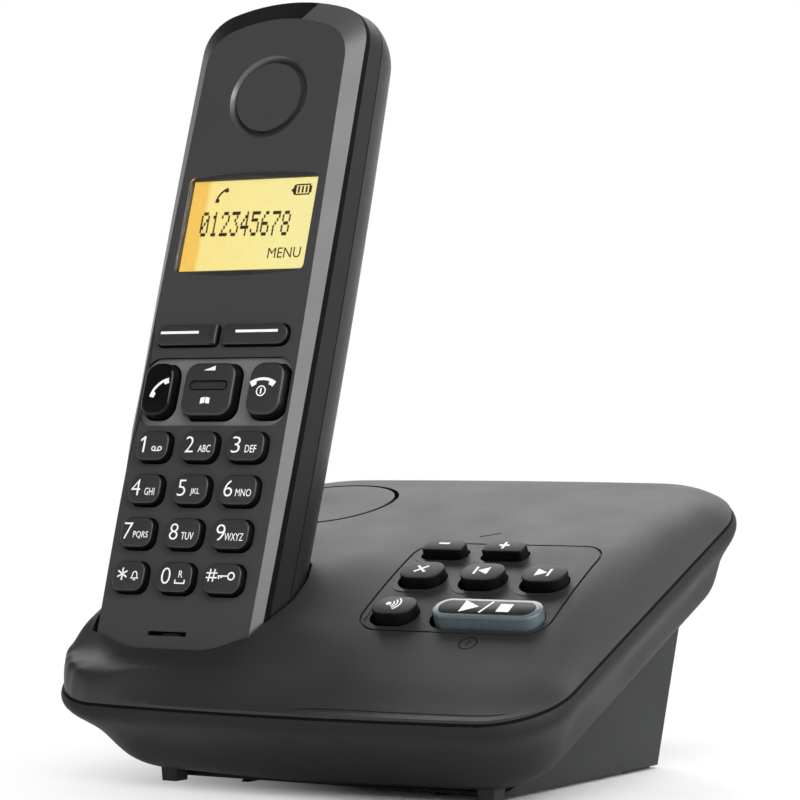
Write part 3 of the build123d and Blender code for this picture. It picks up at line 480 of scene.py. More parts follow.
def makeKey(name, node, plane, look):
    # a foot, and a cap that rises from it with rounded corners, drawn in a little to its top; look is in mm
    footLow, footHigh = flangeOf(node, plane)
    footMiddle = middleOf(footLow, footHigh)
    top = topOf(node, plane, keyLook["topDepth"])[1].z
    rise = top - footHigh.z
    margin, drawn = look["margin"] * mm, look.get("drawn", 0) * mm
    full = (footHigh.x - footLow.x - 2 * margin, footHigh.y - footLow.y - 2 * margin)
    size = [value * mm for value in look["size"]] if "size" in look else full
    shift = [value * mm for value in look.get("shift", (0, 0))]
    middle = (footMiddle.x + shift[0], footMiddle.y + shift[1], top)
    piece = blockBetween(name, footLow, footHigh)
    enter("EDIT")
    pick("FACE", lambda item: item.normal.z > facing)
    bpy.ops.mesh.inset(thickness=margin, depth=0)
    bpy.ops.transform.resize(value=(size[0] / full[0], size[1] / full[1], 1),
                             center_override=(footMiddle.x, footMiddle.y, footHigh.z))
    bpy.ops.transform.translate(value=(*shift, 0))
    bpy.ops.mesh.extrude_region_move(TRANSFORM_OT_translate={"value": (0, 0, rise)})
    bpy.ops.transform.resize(value=(1 - 2 * drawn / size[0], 1 - 2 * drawn / size[1], 1), center_override=middle)
    axis, sense, radius, segments = look.get("other", (0, 0, 0, 0))  # the corners of one side, where they differ

    def upright(item, other):  # whether an edge runs up the cap, at that side or away from it
        heights = [corner.co.z for corner in item.verts]
        risen = max(heights) - min(heights) > rise * keyLook["upright"] and max(heights) > footHigh.z + small
        return risen and ((item.verts[0].co[axis] - middle[axis]) * sense > 0) == other

    if sense:
        roundEdges(lambda item: upright(item, True), radius * mm, segments)
    around = look.get("segments", keyLook["segments"])
    roundEdges(lambda item: upright(item, False), look["corner"] * mm, around)
    roundEdges(lambda item: topEdge(item, top), look["edge"] * mm, keyLook["edgeSegments"])
    enter("OBJECT")
    return piece


def fitKey(cap, node, plane, slope):  # carries a cap to its key's place and paints shade on its skirt, as a darker finish than its top
    settle(cap, plane)
    smoothByAngle(cap, keyLook["smooth"])
    dress(cap, slotFinish[slotOf[node]], bodyOf[node])
    cap.data.materials.append(finishes["keySide"])
    outward = plane.to_3x3() @ Vector((0, 0, 1))
    # faces that lean past the slope are the skirt, and take the darker finish as painted shade
    for polygon in cap.data.polygons:
        polygon.material_index = 0 if polygon.normal.dot(outward) > slope else 1
    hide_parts(node)


def noteKey(node, plane, look):  # keeps the middle of a key's top, for its legend and the rim of its well
    low, high = topOf(node, plane)
    keyTops[node] = (*middleOf(low, high).xy, high.z)
    keyLooks[node] = look
    return low


keyTops, keyLooks = {}, {}
numberNodes = [f"key_{name}" for name in ("1", "2", "3", "4", "5", "6", "7", "8", "9", "star", "0", "hash")]
# one model for each column; the keys get wider from left to right
columnLooks = (
    {"margin": 0.6, "corner": 2.3, "edge": 0.45, "size": (8.3, 6.9), "shift": (-0.4, 0.15)},
    {"margin": 0.6, "corner": 2.4, "edge": 0.45, "size": (9.0, 6.9), "shift": (-0.45, 0.15)},
    {"margin": 0.6, "corner": 2.4, "edge": 0.45, "size": (9.5, 6.9), "shift": (-0.3, 0.15)},
)
for column, look in enumerate(columnLooks):
    master = numberNodes[column]
    model = makeKey(master.replace("key_", "keycap_"), master, face, look)
    masterLow = topOf(master, face)[0]
    for node in reversed(numberNodes[column::3]):
        low = noteKey(node, face, look)
        cap = model
        if node != master:
            cap = model.copy()
            cap.data = model.data.copy()
            cap.name = cap.data.name = node.replace("key_", "keycap_")
            bpy.context.scene.collection.objects.link(cap)
            cap.data.transform(Matrix.Translation(low - masterLow))
        fitKey(cap, node, face, keyLook["numberSlope"])

# other: axis and side of the two corners with another radius, that radius and its segments
otherKeys = {
    "talk_key": {"margin": 0.6, "corner": 3.2, "edge": 0.8, "drawn": 0.15,
                 "size": (8.0, 12.8), "shift": (-0.5, 0.1)},
    "rocker_key": {"margin": 0.6, "corner": 3.0, "edge": 0.8, "drawn": 0.2,
                   "size": (13.7, 12.9), "shift": (-0.6, 0)},
    "end_key": {"margin": 0.6, "corner": 3.2, "edge": 0.8, "drawn": 0.2,
                "size": (9.3, 12.8), "shift": (0.05, 0.1)},
    "soft_key_left": {"margin": 0.6, "corner": 0.4, "edge": 0.4, "other": (0, -1, 1.9, 7)},
    "soft_key_right": {"margin": 0.6, "corner": 0.4, "edge": 0.4, "other": (0, 1, 2.3, 7),
                       "size": (16.85, 4.9), "shift": (-0.45, 0)},
}
for name in ("delete", "back", "forward", "paging"):
    otherKeys[f"button_{name}"] = {"margin": 1.0, "corner": 3.5, "edge": 0.3,
                                   "size": (10.2, 7.2), "shift": (0.6, 0.5)}
for name in ("minus", "plus"):
    otherKeys[f"button_{name}"] = {"margin": 1.0, "corner": 2.0, "edge": 0.3, "other": (1, -1, 0.9, 5),
                                   "size": (10.0, 4.5), "shift": (0.7, 0.4)}
for node, look in otherKeys.items():
    plane = panel if node.startswith("button_") else face
    noteKey(node, plane, look)
    key = makeKey("keycap_" + node.replace("button_", "").replace("_key", ""), node, plane, look)
    fitKey(key, node, plane, keyLook["otherSlope"])
print("keys made")

# printed marks and symbols, drawn flat in mm and laid on their surfaces


def box2d(x, y, width, height):
    w, h = width / 2, height / 2
    return [(x - w, y - h), (x + w, y - h), (x + w, y + h), (x - w, y + h)]


def rounded2d(x, y, width, height, radii, count=7):  # one corner radius, or a pair for the left and right corners
    outline = []
    for cornerX, cornerY, start in ((1, 1, 0), (-1, 1, 90), (-1, -1, 180), (1, -1, 270)):
        radius = radii[cornerX > 0] if isinstance(radii, tuple) else radii
        midX, midY = x + cornerX * (width / 2 - radius), y + cornerY * (height / 2 - radius)
        for i in range(count + 1):
            a = math.radians(start + 90 * i / count)
            outline.append((midX + radius * math.cos(a), midY + radius * math.sin(a)))
    return outline


def circle2d(x, y, radius, count=24):
    angles = [math.tau * i / count for i in range(count)]
    return [(x + radius * math.cos(a), y + radius * math.sin(a)) for a in angles]


def stroke2d(start, end, width):  # a straight line with square ends
    a, b = Vector(start), Vector(end)
    side = (b - a).normalized().orthogonal() * width / 2
    return [tuple(a + side), tuple(a - side), tuple(b - side), tuple(b + side)]


def arc2d(x, y, radius, width, start, end, count=14):  # a bent line, in degrees
    angles = [math.radians(start + (end - start) * i / count) for i in range(count + 1)]
    far, near = radius + width / 2, radius - width / 2
    outer = [(x + far * math.cos(a), y + far * math.sin(a)) for a in angles]
    inner = [(x + near * math.cos(a), y + near * math.sin(a)) for a in reversed(angles)]
    return outer + inner


# shares of a receiver's span, of its half turn and of its grip
receiverLook = {"bow": 0.9, "pad": 0.42, "padInside": 1.15, "padDepth": 1.6, "middle": 0.1}


def receiver2d(x, y, span, turn, grip=0.11):  # a telephone receiver: a shallow bow with an ear and a mouth piece
    radius = span * receiverLook["bow"]
    half = math.degrees(math.asin(0.5 * span / radius))
    pad = half * receiverLook["pad"]
    inside = pad * receiverLook["padInside"]
    outer, inner = radius + span * grip / 2, radius - span * grip / 2
    deep = radius - span * grip * receiverLook["padDepth"]
    points = []

    def along(distance, start, end, count):
        for i in range(count + 1):
            a = math.radians(start + (end - start) * i / count)
            points.append((distance * math.cos(a), distance * math.sin(a)))

    along(outer, 90 - half, 90 + half, 12)
    along(deep, 90 + half, 90 + half - pad, 2)
    along(inner, 90 + half - inside, 90 - half + inside, 10)
    along(deep, 90 - half + pad, 90 - half, 2)
    c, s = math.cos(math.radians(turn)), math.sin(math.radians(turn))
    middle = radius - span * receiverLook["middle"]
    return [(x + px * c - (py - middle) * s, y + px * s + (py - middle) * c) for px, py in points]


def flatShape(outlines, thickness):  # one flat piece; an outline inside another is a hole
    curve = bpy.data.curves.new("mark", "CURVE")
    curve.dimensions = "2D"
    curve.fill_mode = "BOTH"
    curve.extrude = thickness * mm / 2
    for outline in outlines:
        spline = curve.splines.new("POLY")
        spline.points.add(len(outline) - 1)
        for point, (x, y) in zip(spline.points, outline):
            point.co = (x * mm, y * mm, 0, 1)
        spline.use_cyclic_u = True
    piece = bpy.data.objects.new("mark", curve)
    bpy.context.scene.collection.objects.link(piece)
    holdOnly(piece)
    bpy.ops.object.convert(target="MESH")
    return bpy.context.object


inkThickness = 0.05  # printed marks, half sunk in their surface


def wording(text, x, y, height, width, thin=0.0):  # letters, fitted to a height and width
    deselectAll()
    bpy.ops.object.text_add(location=(0, 0, 0))
    piece = bpy.context.object
    piece.data.body = text
    piece.data.size = 10 * mm
    piece.data.resolution_u = 3
    piece.data.offset = -thin * mm
    piece.data.extrude = inkThickness * mm / 2
    bpy.ops.object.convert(target="MESH")
    piece = bpy.context.object
    low, high = spanOf([vertex.co for vertex in piece.data.vertices])
    middle = middleOf(low, high)
    fit = Matrix.Diagonal((width * mm / (high.x - low.x), height * mm / (high.y - low.y), 1, 1))
    centred = Matrix.Translation((-middle.x, -middle.y, 0))
    piece.data.transform(Matrix.Translation((x * mm, y * mm, 0)) @ fit @ centred)
    return piece


inkGap = 0.0005 * mm


def lay(name, parts, plane, height, body, finish="legend"):  # joins flat parts and lays them over a plane
    holdOnly(parts[0])
    for part in parts:
        part.select_set(True)
    bpy.ops.object.join()
    mark = bpy.context.object
    mark.name = mark.data.name = name
    enter("EDIT")
    bpy.ops.mesh.select_all(action="SELECT")
    bpy.ops.mesh.remove_doubles(threshold=inkGap)
    bpy.ops.mesh.normals_make_consistent(inside=False)
    enter("OBJECT")
    mark.location = (0, 0, height)
    settle(mark, plane)
    return dress(mark, finish, body)


def shapes(*groups):
    return [flatShape(group, inkThickness) for group in groups]


# number keys: (digit width, letters, width of the letters, offset of their middle from the digit's)
digits = {
    "2": (2.2, "ABC", 3.2, 4.0), "3": (2.2, "DEF", 2.9, 3.9), "4": (2.4, "GHI", 2.6, 3.75),
    "5": (2.1, "JKL", 2.4, 3.6), "6": (2.2, "MNO", 4.0, 4.0), "7": (2.3, "PQRS", 3.9, 3.5),
    "8": (2.2, "TUV", 3.2, 3.65), "9": (2.3, "WXYZ", 4.8, 3.55), "0": (2.4, "R", 1.05, 3.8),
}
digitLook = {"aside": -2.65, "lift": 0.4, "height": 3.75, "thin": 0.11, "small": 1.7, "smallLift": -0.525,
             "recall": 1.55, "recallLift": 0.85}
# marks on the number keys, from the middle of each key
keyMarks = {
    "1": [  # the digit, and two reels of tape
        [[(-2.35, -1.475), (-2.35, 2.275), (-2.75, 2.275), (-3.6, 1.55), (-3.6, 1.05), (-2.8, 1.65),
          (-2.8, -1.475)]],
        [circle2d(0.1, -0.55, 0.58), circle2d(0.1, -0.55, 0.34)],
        [circle2d(1.7, -0.55, 0.58), circle2d(1.7, -0.55, 0.34)],
        [box2d(0.9, -1.05, 1.6, 0.24)],
    ],
    "0": [  # a space mark
        [[(-0.2, -0.4), (-0.2, -1.35), (2.5, -1.35), (2.5, -0.4), (2.2, -0.4), (2.2, -1.05), (0.1, -1.05),
          (0.1, -0.4)]],
    ],
    "star": [  # a star and a bell
        [stroke2d((-2.0, -0.85), (-2.0, 1.95), 0.36)],
        [stroke2d((-3.2124, -0.15), (-0.7876, 1.25), 0.36)],
        [stroke2d((-0.7876, -0.15), (-3.2124, 1.25), 0.36)],
        [[(0.2, -0.45), (0.55, 0.0), (0.65, 0.75), (1.0, 1.25), (1.6, 1.25), (1.95, 0.75), (2.05, 0.0),
          (2.4, -0.45)],
         [(0.58, -0.22), (0.8, 0.1), (0.9, 0.7), (1.1, 1.0), (1.5, 1.0), (1.7, 0.7), (1.8, 0.1), (2.02, -0.22)]],
        [box2d(1.3, -0.7, 0.6, 0.26)],
    ],
    "hash": [  # a hash and a door key
        [stroke2d((-3.7, -0.6), (-3.4, 2.2), 0.32)],
        [stroke2d((-2.6, -0.6), (-2.3, 2.2), 0.32)],
        [box2d(-3.0, 0.2775, 2.8, 0.32)],
        [box2d(-3.0, 1.3225, 2.8, 0.32)],
        [circle2d(2.0, 0.7, 0.95), circle2d(2.0, 0.7, 0.62)],
        [box2d(-0.1, 0.7, 2.6, 0.3)],
        [box2d(-1.1, 0.32, 0.32, 0.6)],
        [box2d(-0.45, 0.42, 0.3, 0.4)],
    ],
}
for node in numberNodes:
    x, y = (value / mm for value in keyTops[node][:2])
    key = node.replace("key_", "")
    groups = [[[(x + a, y + b) for a, b in outline] for outline in group] for group in keyMarks.get(key, ())]
    parts = shapes(*groups)
    if key in digits:
        wide, letters, lettersWide, lettersAside = digits[key]
        digitX, digitY = x + digitLook["aside"], y + digitLook["lift"]
        parts.append(wording(key, digitX, digitY, digitLook["height"], wide, digitLook["thin"]))
        size = "recall" if key == "0" else "small"
        lettersX, lettersY = digitX + lettersAside, y + digitLook[size + "Lift"]
        parts.append(wording(letters, lettersX, lettersY, digitLook[size], lettersWide))
    lay(f"legend_{key}", parts, face, keyTops[node][2], bodyOf[node])

# marks on the other keys of the handset, from the earpiece's middle
faceMarks = {
    "legend_talk": ("talk_key", [[receiver2d(-13.85, -70.85, 5.9, 45, 0.1)]]),
    "legend_end": ("end_key", [[receiver2d(13.35, -69.75, 6.5, 0, 0.1)], [box2d(13.2, -71.9, 0.34, 1.3)],
                               [circle2d(13.2, -71.9, 1.25), circle2d(13.2, -71.9, 0.98)]]),
    "legend_rocker": ("rocker_key", [[[(-2.65, -67.0), (0.35, -67.05), (0.3, -65.95)]],
                                     [[(-2.2, -74.85), (-1.1, -74.65), (-1.1, -73.25), (-2.2, -73.45)]],
                                     [[(-0.9, -74.65), (0.2, -74.85), (0.2, -73.45), (-0.9, -73.25)]]]),
    # a black outline round the rim of the rocker's groove: painted shade along the groove
    "groove_line": ("rocker_key", [[rounded2d(-0.75, -70.5, 10.0, 2.3, 1.1),
                                    rounded2d(-0.75, -70.5, 9.5, 1.8, 0.85)]]),
    "legend_soft_left": ("soft_key_left", [[box2d(-11.6, -57.6, 10.2, 0.62)]]),
    "legend_soft_right": ("soft_key_right", [[box2d(8.75, -57.5, 11.0, 0.62)]]),
}
for name, (node, groups) in faceMarks.items():
    markFinish = "engraved" if name == "groove_line" else "legend"
    lay(name, shapes(*groups), face, keyTops[node][2], bodyOf[node], markFinish)

# marks on the keys of the base, from the middle of the back key
panelMarks = {
    "button_minus": [[box2d(-14.4, 12.5, 2.6, 0.62)]],
    "button_plus": [[box2d(0.5, 12.25, 2.4, 0.6)], [box2d(0.5, 13.1, 0.6, 1.1)], [box2d(0.5, 11.4, 0.6, 1.1)]],
    "button_delete": [[stroke2d((-15.8, -0.35), (-13.2, 2.15), 0.55)],
                      [stroke2d((-15.8, 2.15), (-13.2, -0.35), 0.55)]],
    "button_back": [[box2d(-1.15, 0.85, 0.55, 2.9)], [[(-0.6, 0.85), (1.95, -0.6), (1.95, 2.3)]]],
    "button_forward": [[box2d(16.5, 0.75, 0.55, 2.9)], [[(15.95, 0.75), (13.4, -0.7), (13.4, 2.2)]]],
    "button_paging": [[circle2d(-15.75, -13.15, 0.62)], [arc2d(-15.75, -13.15, 1.25, 0.32, -50, 50)],
                      [arc2d(-15.75, -13.15, 2.0, 0.34, -50, 50)], [arc2d(-15.75, -13.15, 2.8, 0.36, -50, 50)]],
}
for node, groups in panelMarks.items():
    lay(node.replace("button_", "legend_"), shapes(*groups), panel, keyTops[node][2], node)
playMarks = [[[(2.2, -15.7), (6.1, -13.35), (2.2, -11.0)]], [stroke2d((7.1, -15.7), (8.75, -11.2), 0.5)],
             [box2d(12.3, -13.6, 3.0, 3.1)]]
lay("legend_play_stop", shapes(*playMarks), panel, topOf("play_stop_cap", panel)[1].z, "play_stop_key")
print("legends printed")

# play and stop key: a grey-blue rim round a dark cap

rimLook = {"margin": 1.0, "corner": 3.6, "edge": 0.4, "segments": 10, "size": (25.4, 7.6), "shift": (0.7, 0.5)}
# in mm; ends of the cap, from those of its CAD solid and from the rim's top, and its roundings
playCapLook = {"low": (1.3, 0.9, -0.3), "high": (0, 0.3, 0.12), "corner": 2.5, "edge": 0.1}
rimTop = topOf("play_stop_rim", panel, keyLook["topDepth"])[1].z
rim = makeKey("play_rim", "play_stop_rim", panel, rimLook)
settle(rim, panel)
standFor(rim, "play_stop_rim", "keyRim", keyLook["smooth"])
capLow, capHigh = topOf("play_stop_cap", panel, keyLook["topDepth"])
capLow.z = capHigh.z = rimTop
capLow += Vector(playCapLook["low"]) * mm
capHigh += Vector(playCapLook["high"]) * mm
cap = roundedBlock("play_cap", capLow, capHigh, (standing, playCapLook["corner"] * mm, 10),
                   (lambda item: topEdge(item, capHigh.z), playCapLook["edge"] * mm, 2))
settle(cap, panel)
standFor(cap, "play_stop_cap", "baseKey", 40)

# lit display, and its marks

# in mm; ends of the block, from the middle across, from the window's ends and from the display's top
screenLook = {"low": (-17.0, 0.2, 0), "high": (17.0, -0.3, 0.06), "side": 0.3, "dish": 0.02}
lensLow, lensHigh = spanOf(pointsOn("display_window", face))
moduleTop = spanOf(pointsOn("display_module", face))[1].z
finishes["litScreen"] = litScreen(lensLow.x + face.translation.x, lensHigh.x + face.translation.x)
screenLow = Vector((0, lensLow.y, moduleTop)) + Vector(screenLook["low"]) * mm
screenHigh = Vector((0, lensHigh.y, moduleTop)) + Vector(screenLook["high"]) * mm
screen = blockBetween("lit_screen", screenLow, screenHigh)
enter("EDIT")
pick("FACE", lambda item: item.normal.z > facing)
bpy.ops.mesh.inset(thickness=screenLook["side"] * mm, depth=-screenLook["dish"] * mm)
enter("OBJECT")
settle(screen, face)
dress(screen, "litScreen", "handset")

# numbers of square dots, five by seven
dotRows = {
    "0": "01110 10001 10011 10101 11001 10001 01110", "1": "00100 01100 00100 00100 00100 00100 01110",
    "2": "01110 10001 00001 00010 00100 01000 11111", "3": "11111 00010 00100 00010 00001 10001 01110",
    "4": "00010 00110 01010 10010 11111 00010 00010", "5": "11111 10000 11110 00001 00001 10001 01110",
    "6": "00110 01000 10000 11110 10001 10001 01110", "7": "11111 00001 00010 00100 01000 01000 01000",
    "8": "01110 10001 10001 01110 10001 10001 01110", "9": "01110 10001 10001 01111 00001 00010 01100",
}
dotLook = {"number": "012345678", "left": -13.2, "top": -27.6, "step": 2.72, "wide": 0.43, "high": 0.86,
           "filled": 0.94, "lean": -0.02}
dots = []
for place, figure in enumerate(dotLook["number"]):
    for row, line in enumerate(dotRows[figure].split()):
        for run in re.finditer("1+", line):  # neighbours in a row are one bar
            x = dotLook["left"] + place * dotLook["step"] + (run.start() + run.end()) / 2 * dotLook["wide"]
            y = dotLook["top"] - (row + 0.5) * dotLook["high"] + dotLook["lean"] * x
            wide = (run.end() - run.start()) * dotLook["wide"]
            dots.append(box2d(x, y, wide, dotLook["high"] * dotLook["filled"]))
batteryOutline = [(9.6, -22.9), (10.3, -22.2), (10.3, -21.7), (11.0, -21.4), (14.6, -21.4), (14.6, -21.9),
                  (15.0, -21.9), (15.0, -23.6), (14.6, -23.6), (14.6, -24.1), (11.0, -24.1), (10.3, -23.9),
                  (10.3, -23.5)]
batteryHollow = [(11.0, -21.75), (14.3, -21.75), (14.3, -23.75), (11.0, -23.75)]
batteryBars = [box2d(x, -22.75, 0.5, 1.6) for x in (11.65, 12.65, 13.65)]
screenParts = shapes(dots, [receiver2d(-8.9, -23.3, 4.4, 50)], [batteryOutline, batteryHollow, *batteryBars])
screenParts.append(wording("MENU", 10.6, -37.95, 2.5, 8.6))
lay("screen_marks", screenParts, face, screenHigh.z - screenLook["dish"] * mm, "handset", "screenInk")
print("screen made")

# ridge beside the left soft key

# in mm; ends of the block, from the middle across, from the soft key's ends and from its top
ridgeLook = {"low": (-3.05, 0.15, -0.25), "high": (-1.62, -0.1, 0.45), "edge": 0.3}
softLow, softHigh = topOf("soft_key_left", face)
ridge = roundedBlock("soft_ridge", Vector((0, softLow.y, softHigh.z)) + Vector(ridgeLook["low"]) * mm,
                     Vector((0, softHigh.y, softHigh.z)) + Vector(ridgeLook["high"]) * mm,
                     (lambda item: all(corner.co.z > softHigh.z for corner in item.verts),
                      ridgeLook["edge"] * mm, 4))
settle(ridge, face)
smoothByAngle(ridge, 40)
dress(ridge, "keySatin", "soft_key_left")

# groove across the rocker key

grooveLook = {"low": (-5.5, -71.4), "high": (4.0, -69.6), "deep": 0.4, "over": 1.0, "corner": 0.7}
rockerTop = keyTops["rocker_key"][2] / mm
cutter = roundedBlock("groove_cutter", Vector((*grooveLook["low"], rockerTop - grooveLook["deep"])) * mm,
                      Vector((*grooveLook["high"], rockerTop + grooveLook["over"])) * mm,
                      (standing, grooveLook["corner"] * mm, 5))
settle(cutter, face)
rockerCap = bpy.data.objects["keycap_rocker"]
holdOnly(rockerCap)
carve = rockerCap.modifiers.new("groove", "BOOLEAN")
carve.operation = "DIFFERENCE"
carve.solver = "EXACT"
carve.object = cutter
bpy.ops.object.modifier_apply(modifier="groove")
bpy.data.objects.remove(cutter)
smoothByAngle(rockerCap, keyLook["smooth"])
print("key details made")

# rims of the keys' wells

# in mm; proud: how far a rim stands over its surface, gap: room round a key, reach: of a rim past the CAD key
wellLook = {"thick": 0.08, "proud": 0.015, "gap": 0.35, "rounder": 0.3, "reach": 1.2, "trayReach": 1.6,
            "corner": 1.2, "baseLift": 0.02, "around": 0.6, "band": 1.0}
wellDrop = wellLook["proud"] - wellLook["thick"] / 2


def wellRim(name, x, y, hole, cover, plane, height, body, finish):
    # a flat rim with a rounded hole, that covers the straight-cut corners of a well
    # in mm; hole is width, height, corner, aside and up, and cover is width, height and corner
    outlines = [rounded2d(x, y, *cover), rounded2d(x + hole[3], y + hole[4], *hole[:3])]
    return lay(name, [flatShape(outlines, wellLook["thick"])], plane, height * mm, body, finish)


for node in numberNodes + ["talk_key", "rocker_key", "end_key"]:
    look = keyLooks[node]
    inTray = node not in numberNodes
    low, high = topOf(node, face)
    reach = wellLook["trayReach" if inTray else "reach"]
    hole = (look["size"][0] + 2 * wellLook["gap"], look["size"][1] + 2 * wellLook["gap"],
            look["corner"] + wellLook["rounder"], *look["shift"])
    cover = ((high.x - low.x) / mm + reach, (high.y - low.y) / mm + reach, wellLook["corner"])
    x, y = (value / mm for value in keyTops[node][:2])
    depth, finish = (frontLook["trayDepth"], "trayFloor") if inTray else (0, "faceMatte")
    wellRim(node.replace("key_", "").replace("_key", "") + "_well", x, y, hole, cover, face, wellDrop - depth,
            "handset", finish)

softWells = {  # middle across the handset, hole and cover
    "left": (-9.625, (16.65, 5.4, (1.9, 0.6), 0, 0), (17.45, 6.2, 1.0)),
    "right": (8.825, (17.35, 5.4, (0.6, 2.2), -0.45, 0), (18.95, 6.2, 1.0)),
}
softMiddle = middleOf(softLow, softHigh).y / mm
for side, (x, hole, cover) in softWells.items():
    wellRim(f"soft_{side}_well", x, softMiddle, hole, cover, face, wellDrop, "handset", "faceMatte")

topShellPoints = pointsOn("base_top_shell", panel)


def planeRound(middle, half):  # the plane that fits the top shell best round a well of the panel
    offsets = [point - middle for point in topShellPoints]
    near = [offset for offset in offsets if abs(offset.x) < half.x and abs(offset.y) < half.y]
    high = max(offset.z for offset in near)
    near = [offset / mm for offset in near if offset.z > high - wellLook["band"] * mm]
    total, right = Matrix.Diagonal((0, 0, 0)), Vector()
    for point in near:
        row = Vector((point.x, point.y, 1))
        for i in range(3):
            total[i] = total[i] + row[i] * row
        right = right + row * point.z
    # lift is in mm, as the points are
    slopeX, slopeY, lift = total.inverted() @ right
    normal = Vector((-slopeX, -slopeY, 1)).normalized()
    sideways = Vector((1, 0, slopeX)).normalized()
    turn = Matrix((sideways, normal.cross(sideways), normal)).transposed()
    return panel @ Matrix.Translation(middle + Vector((0, 0, lift * mm))) @ turn.to_4x4()


# hole and cover of each well in the base
keyWell = ((11.4, 8.3, 3.95, 0.3, 0.25), (13.1, 10.0, 4.4))
lowWell = ((11.4, 5.6, 2.4, 0.4, 0.2), (13.1, 7.1, 2.6))
baseWells = {"play_stop_rim": ((26.7, 8.7, 4.1, 0.35, 0.25), (28.8, 10.6, 4.6)), "button_minus": lowWell,
             "button_plus": lowWell, "button_delete": keyWell, "button_back": keyWell, "button_forward": keyWell,
             "button_paging": keyWell}
for node, (hole, cover) in baseWells.items():
    low, high = topOf(node, panel)
    middle = Vector((*middleOf(low, high).xy, 0))
    half = (high - low) / 2 + Vector((1, 1, 1)) * wellLook["around"] * mm
    wellRim(node.replace("button_", "") + "_well", 0, 0, hole, cover, planeRound(middle, half),
            wellLook["baseLift"], "base", "topCase")
print("wells rimmed")

# marks pressed into the top shell

pressLook = {"lift": 0.025, "thick": 0.05}


def pressOn(name, outlines, height):  # wraps a flat mark onto the top shell
    mark = lay(name, [flatShape(group, 0) for group in outlines], panel, height * mm, "base", "engraved")
    wrap = mark.modifiers.new("wrap", "SHRINKWRAP")
    wrap.target = topShell
    wrap.wrap_method = "NEAREST_SURFACEPOINT"
    wrap.wrap_mode = "ABOVE_SURFACE"
    wrap.offset = pressLook["lift"] * mm
    bpy.ops.object.modifier_apply(modifier="wrap")
    thick = mark.modifiers.new("thick", "SOLIDIFY")
    thick.thickness = pressLook["thick"] * mm
    thick.offset = -1
    bpy.ops.object.modifier_apply(modifier="thick")


pressOn("power_mark", [[circle2d(7.3, -23.2, 2.09, 36), circle2d(7.3, -23.2, 1.85, 36)],
                       [stroke2d((7.05, -24.05), (7.55, -22.35), 0.26)]], -0.95)
pressOn("wedge_mark", [[stroke2d((-10.5, 21.4), (-6.3, 23.7), 0.35)]], -1.3)
print("marks pressed")

# floor, sky, lamps and camera

# in metres; the floor is plain white past fadeTo from its middle, and keeps its shadow nearer than that
floorLook = {"color": (0.90, 0.90, 0.90, 1), "roughness": 0.8, "shine": 0.2, "half": 9.0, "back": 1.6,
             "height": 2.6, "curve": 0.5, "curveSegments": 24, "middle": (0.06, 0.02, 0), "fadeFrom": 0.07,
             "fadeTo": 0.17, "near": 0.01}


def sweptFloor():
    def atBack(item):
        return all(corner.co.y > floorLook["back"] - floorLook["near"] for corner in item.verts)

    deselectAll()
    bpy.ops.mesh.primitive_plane_add(size=1, location=(0, 0, 0))
    floor = bpy.context.object
    floor.name = floor.data.name = "studio_floor"
    floor.scale = (2 * floorLook["half"], 2 * floorLook["half"], 1)
    bpy.ops.object.transform_apply(location=False, rotation=False, scale=True)
    enter("EDIT")
    bpy.ops.mesh.select_all(action="SELECT")
    bpy.ops.transform.translate(value=(0, floorLook["back"] - floorLook["half"], 0))
    pick("EDGE", atBack)
    bpy.ops.mesh.extrude_region_move(TRANSFORM_OT_translate={"value": (0, 0, floorLook["height"])})
    roundEdges(lambda item: atBack(item) and all(corner.co.z < floorLook["near"] for corner in item.verts),
               floorLook["curve"], floorLook["curveSegments"])
    enter("OBJECT")
    bpy.ops.object.shade_smooth()
    material, tree, surface = newMaterial("studioFloor", {
        "Base Color": floorLook["color"], "Roughness": floorLook["roughness"],
        "Specular IOR Level": floorLook["shine"]})
    glow = addNode(tree, "Emission")
    rays = addNode(tree, "LightPath")
    place = addNode(tree, "TexCoord")
    reach = addNode(tree, "VectorMath", {1: floorLook["middle"]})
    reach.operation = "DISTANCE"
    fade = addNode(tree, "MapRange", {"From Min": floorLook["fadeFrom"], "From Max": floorLook["fadeTo"]})
    fade.interpolation_type = "SMOOTHSTEP"
    seen, also, share = (addNode(tree, "Math") for _ in range(3))
    seen.operation = also.operation = "MAXIMUM"
    share.operation = "MULTIPLY"
    blend = addNode(tree, "MixShader")
    linkUp(tree, (place, "Object", reach, 0), (reach, "Value", fade, "Value"),
           (rays, "Is Camera Ray", seen, 0), (rays, "Is Glossy Ray", seen, 1), (seen, 0, also, 0),
           (rays, "Is Transmission Ray", also, 1), (also, 0, share, 0), (fade, "Result", share, 1),
           (share, 0, blend, "Fac"), (surface, "BSDF", blend, 1), (glow, "Emission", blend, 2),
           (blend, "Shader", tree.nodes["Material Output"], "Surface"))
    floor.data.materials.append(material)


sweptFloor()

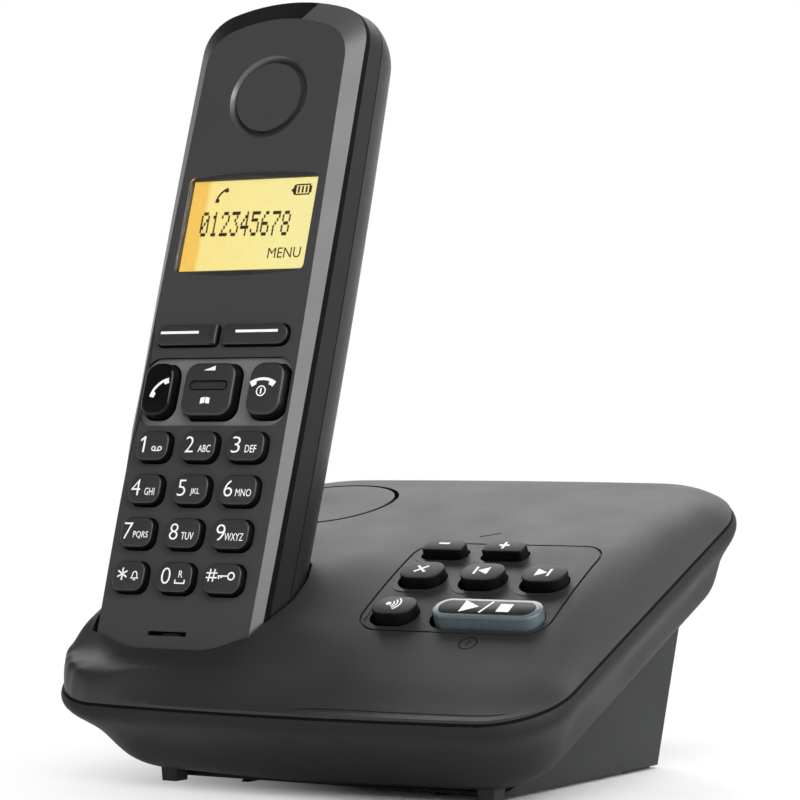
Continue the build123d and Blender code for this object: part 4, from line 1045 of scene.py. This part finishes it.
# level of the sky, from straight down to straight up
skyLook = {"strength": 1.0, "blue": 1.01,
           "stops": ((0.0, 0.85), (0.5, 0.85), (0.60, 0.5), (0.72, 0.18), (1.0, 0.06))}
world = bpy.data.worlds.new("studioSky")
bpy.context.scene.world = world
world.use_nodes = True
sky = world.node_tree
skyPlace = addNode(sky, "TexCoord")
skyParts = addNode(sky, "SeparateXYZ")
skyHeight = addNode(sky, "MapRange", {"From Min": -1})
skyRamp = addNode(sky, "ValToRGB")
skyGlow = setInputs(sky.nodes["Background"], {"Strength": skyLook["strength"]})
skyStops = skyRamp.color_ramp.elements
for index, (position, level) in enumerate(skyLook["stops"]):
    stop = skyStops[index] if index < 2 else skyStops.new(position)
    stop.position, stop.color = position, (level, level, level * skyLook["blue"], 1)
linkUp(sky, (skyPlace, "Generated", skyParts, "Vector"), (skyParts, "Z", skyHeight, "Value"),
       (skyHeight, "Result", skyRamp, "Fac"), (skyRamp, "Color", skyGlow, "Color"))

# places and sizes in metres, power in watts
lamps = {
    "key_light": {"place": (0.9, -1.0, 1.3), "size": (1.35, 1.15), "power": 27},
    "right_panel": {"place": (1.27, -0.15, 0.5), "size": (1.4, 0.65), "power": 13},
    "back_light": {"place": (-0.3, 1.1, 1.3), "size": (1.6, 0.7), "power": 12},
}
lampAim = Vector((0, 0, 0.07))
for name, lamp in lamps.items():
    light = bpy.data.lights.new(name, "AREA")
    light.shape = "RECTANGLE"
    light.size, light.size_y = lamp["size"]
    light.energy = lamp["power"]
    holder = bpy.data.objects.new(name, light)
    bpy.context.scene.collection.objects.link(holder)
    holder.location = lamp["place"]
    holder.rotation_euler = (lampAim - holder.location).to_track_quat("-Z", "Y").to_euler()

# place in metres, turns in degrees, lens and sensor in mm
cameraLook = {"place": (0.3192, -0.57575, 0.072), "turn": 29.26, "rise": 1.03, "roll": 0.31, "lens": 132.17,
              "sensor": 36, "nearest": 0.01}
view = bpy.data.cameras.new("view")
viewer = bpy.data.objects.new("view", view)
bpy.context.scene.collection.objects.link(viewer)
view.lens = cameraLook["lens"]
view.sensor_width = cameraLook["sensor"]
view.clip_start = cameraLook["nearest"]
turn = Matrix.Rotation(math.radians(cameraLook["turn"]), 4, "Z")
turn = turn @ Matrix.Rotation(math.radians(90 + cameraLook["rise"]), 4, "X")
turn = turn @ Matrix.Rotation(math.radians(cameraLook["roll"]), 4, "Z")
viewer.matrix_world = Matrix.Translation(cameraLook["place"]) @ turn
bpy.context.scene.camera = viewer
bpy.context.scene.view_settings.view_transform = "Standard"
print("scene set")
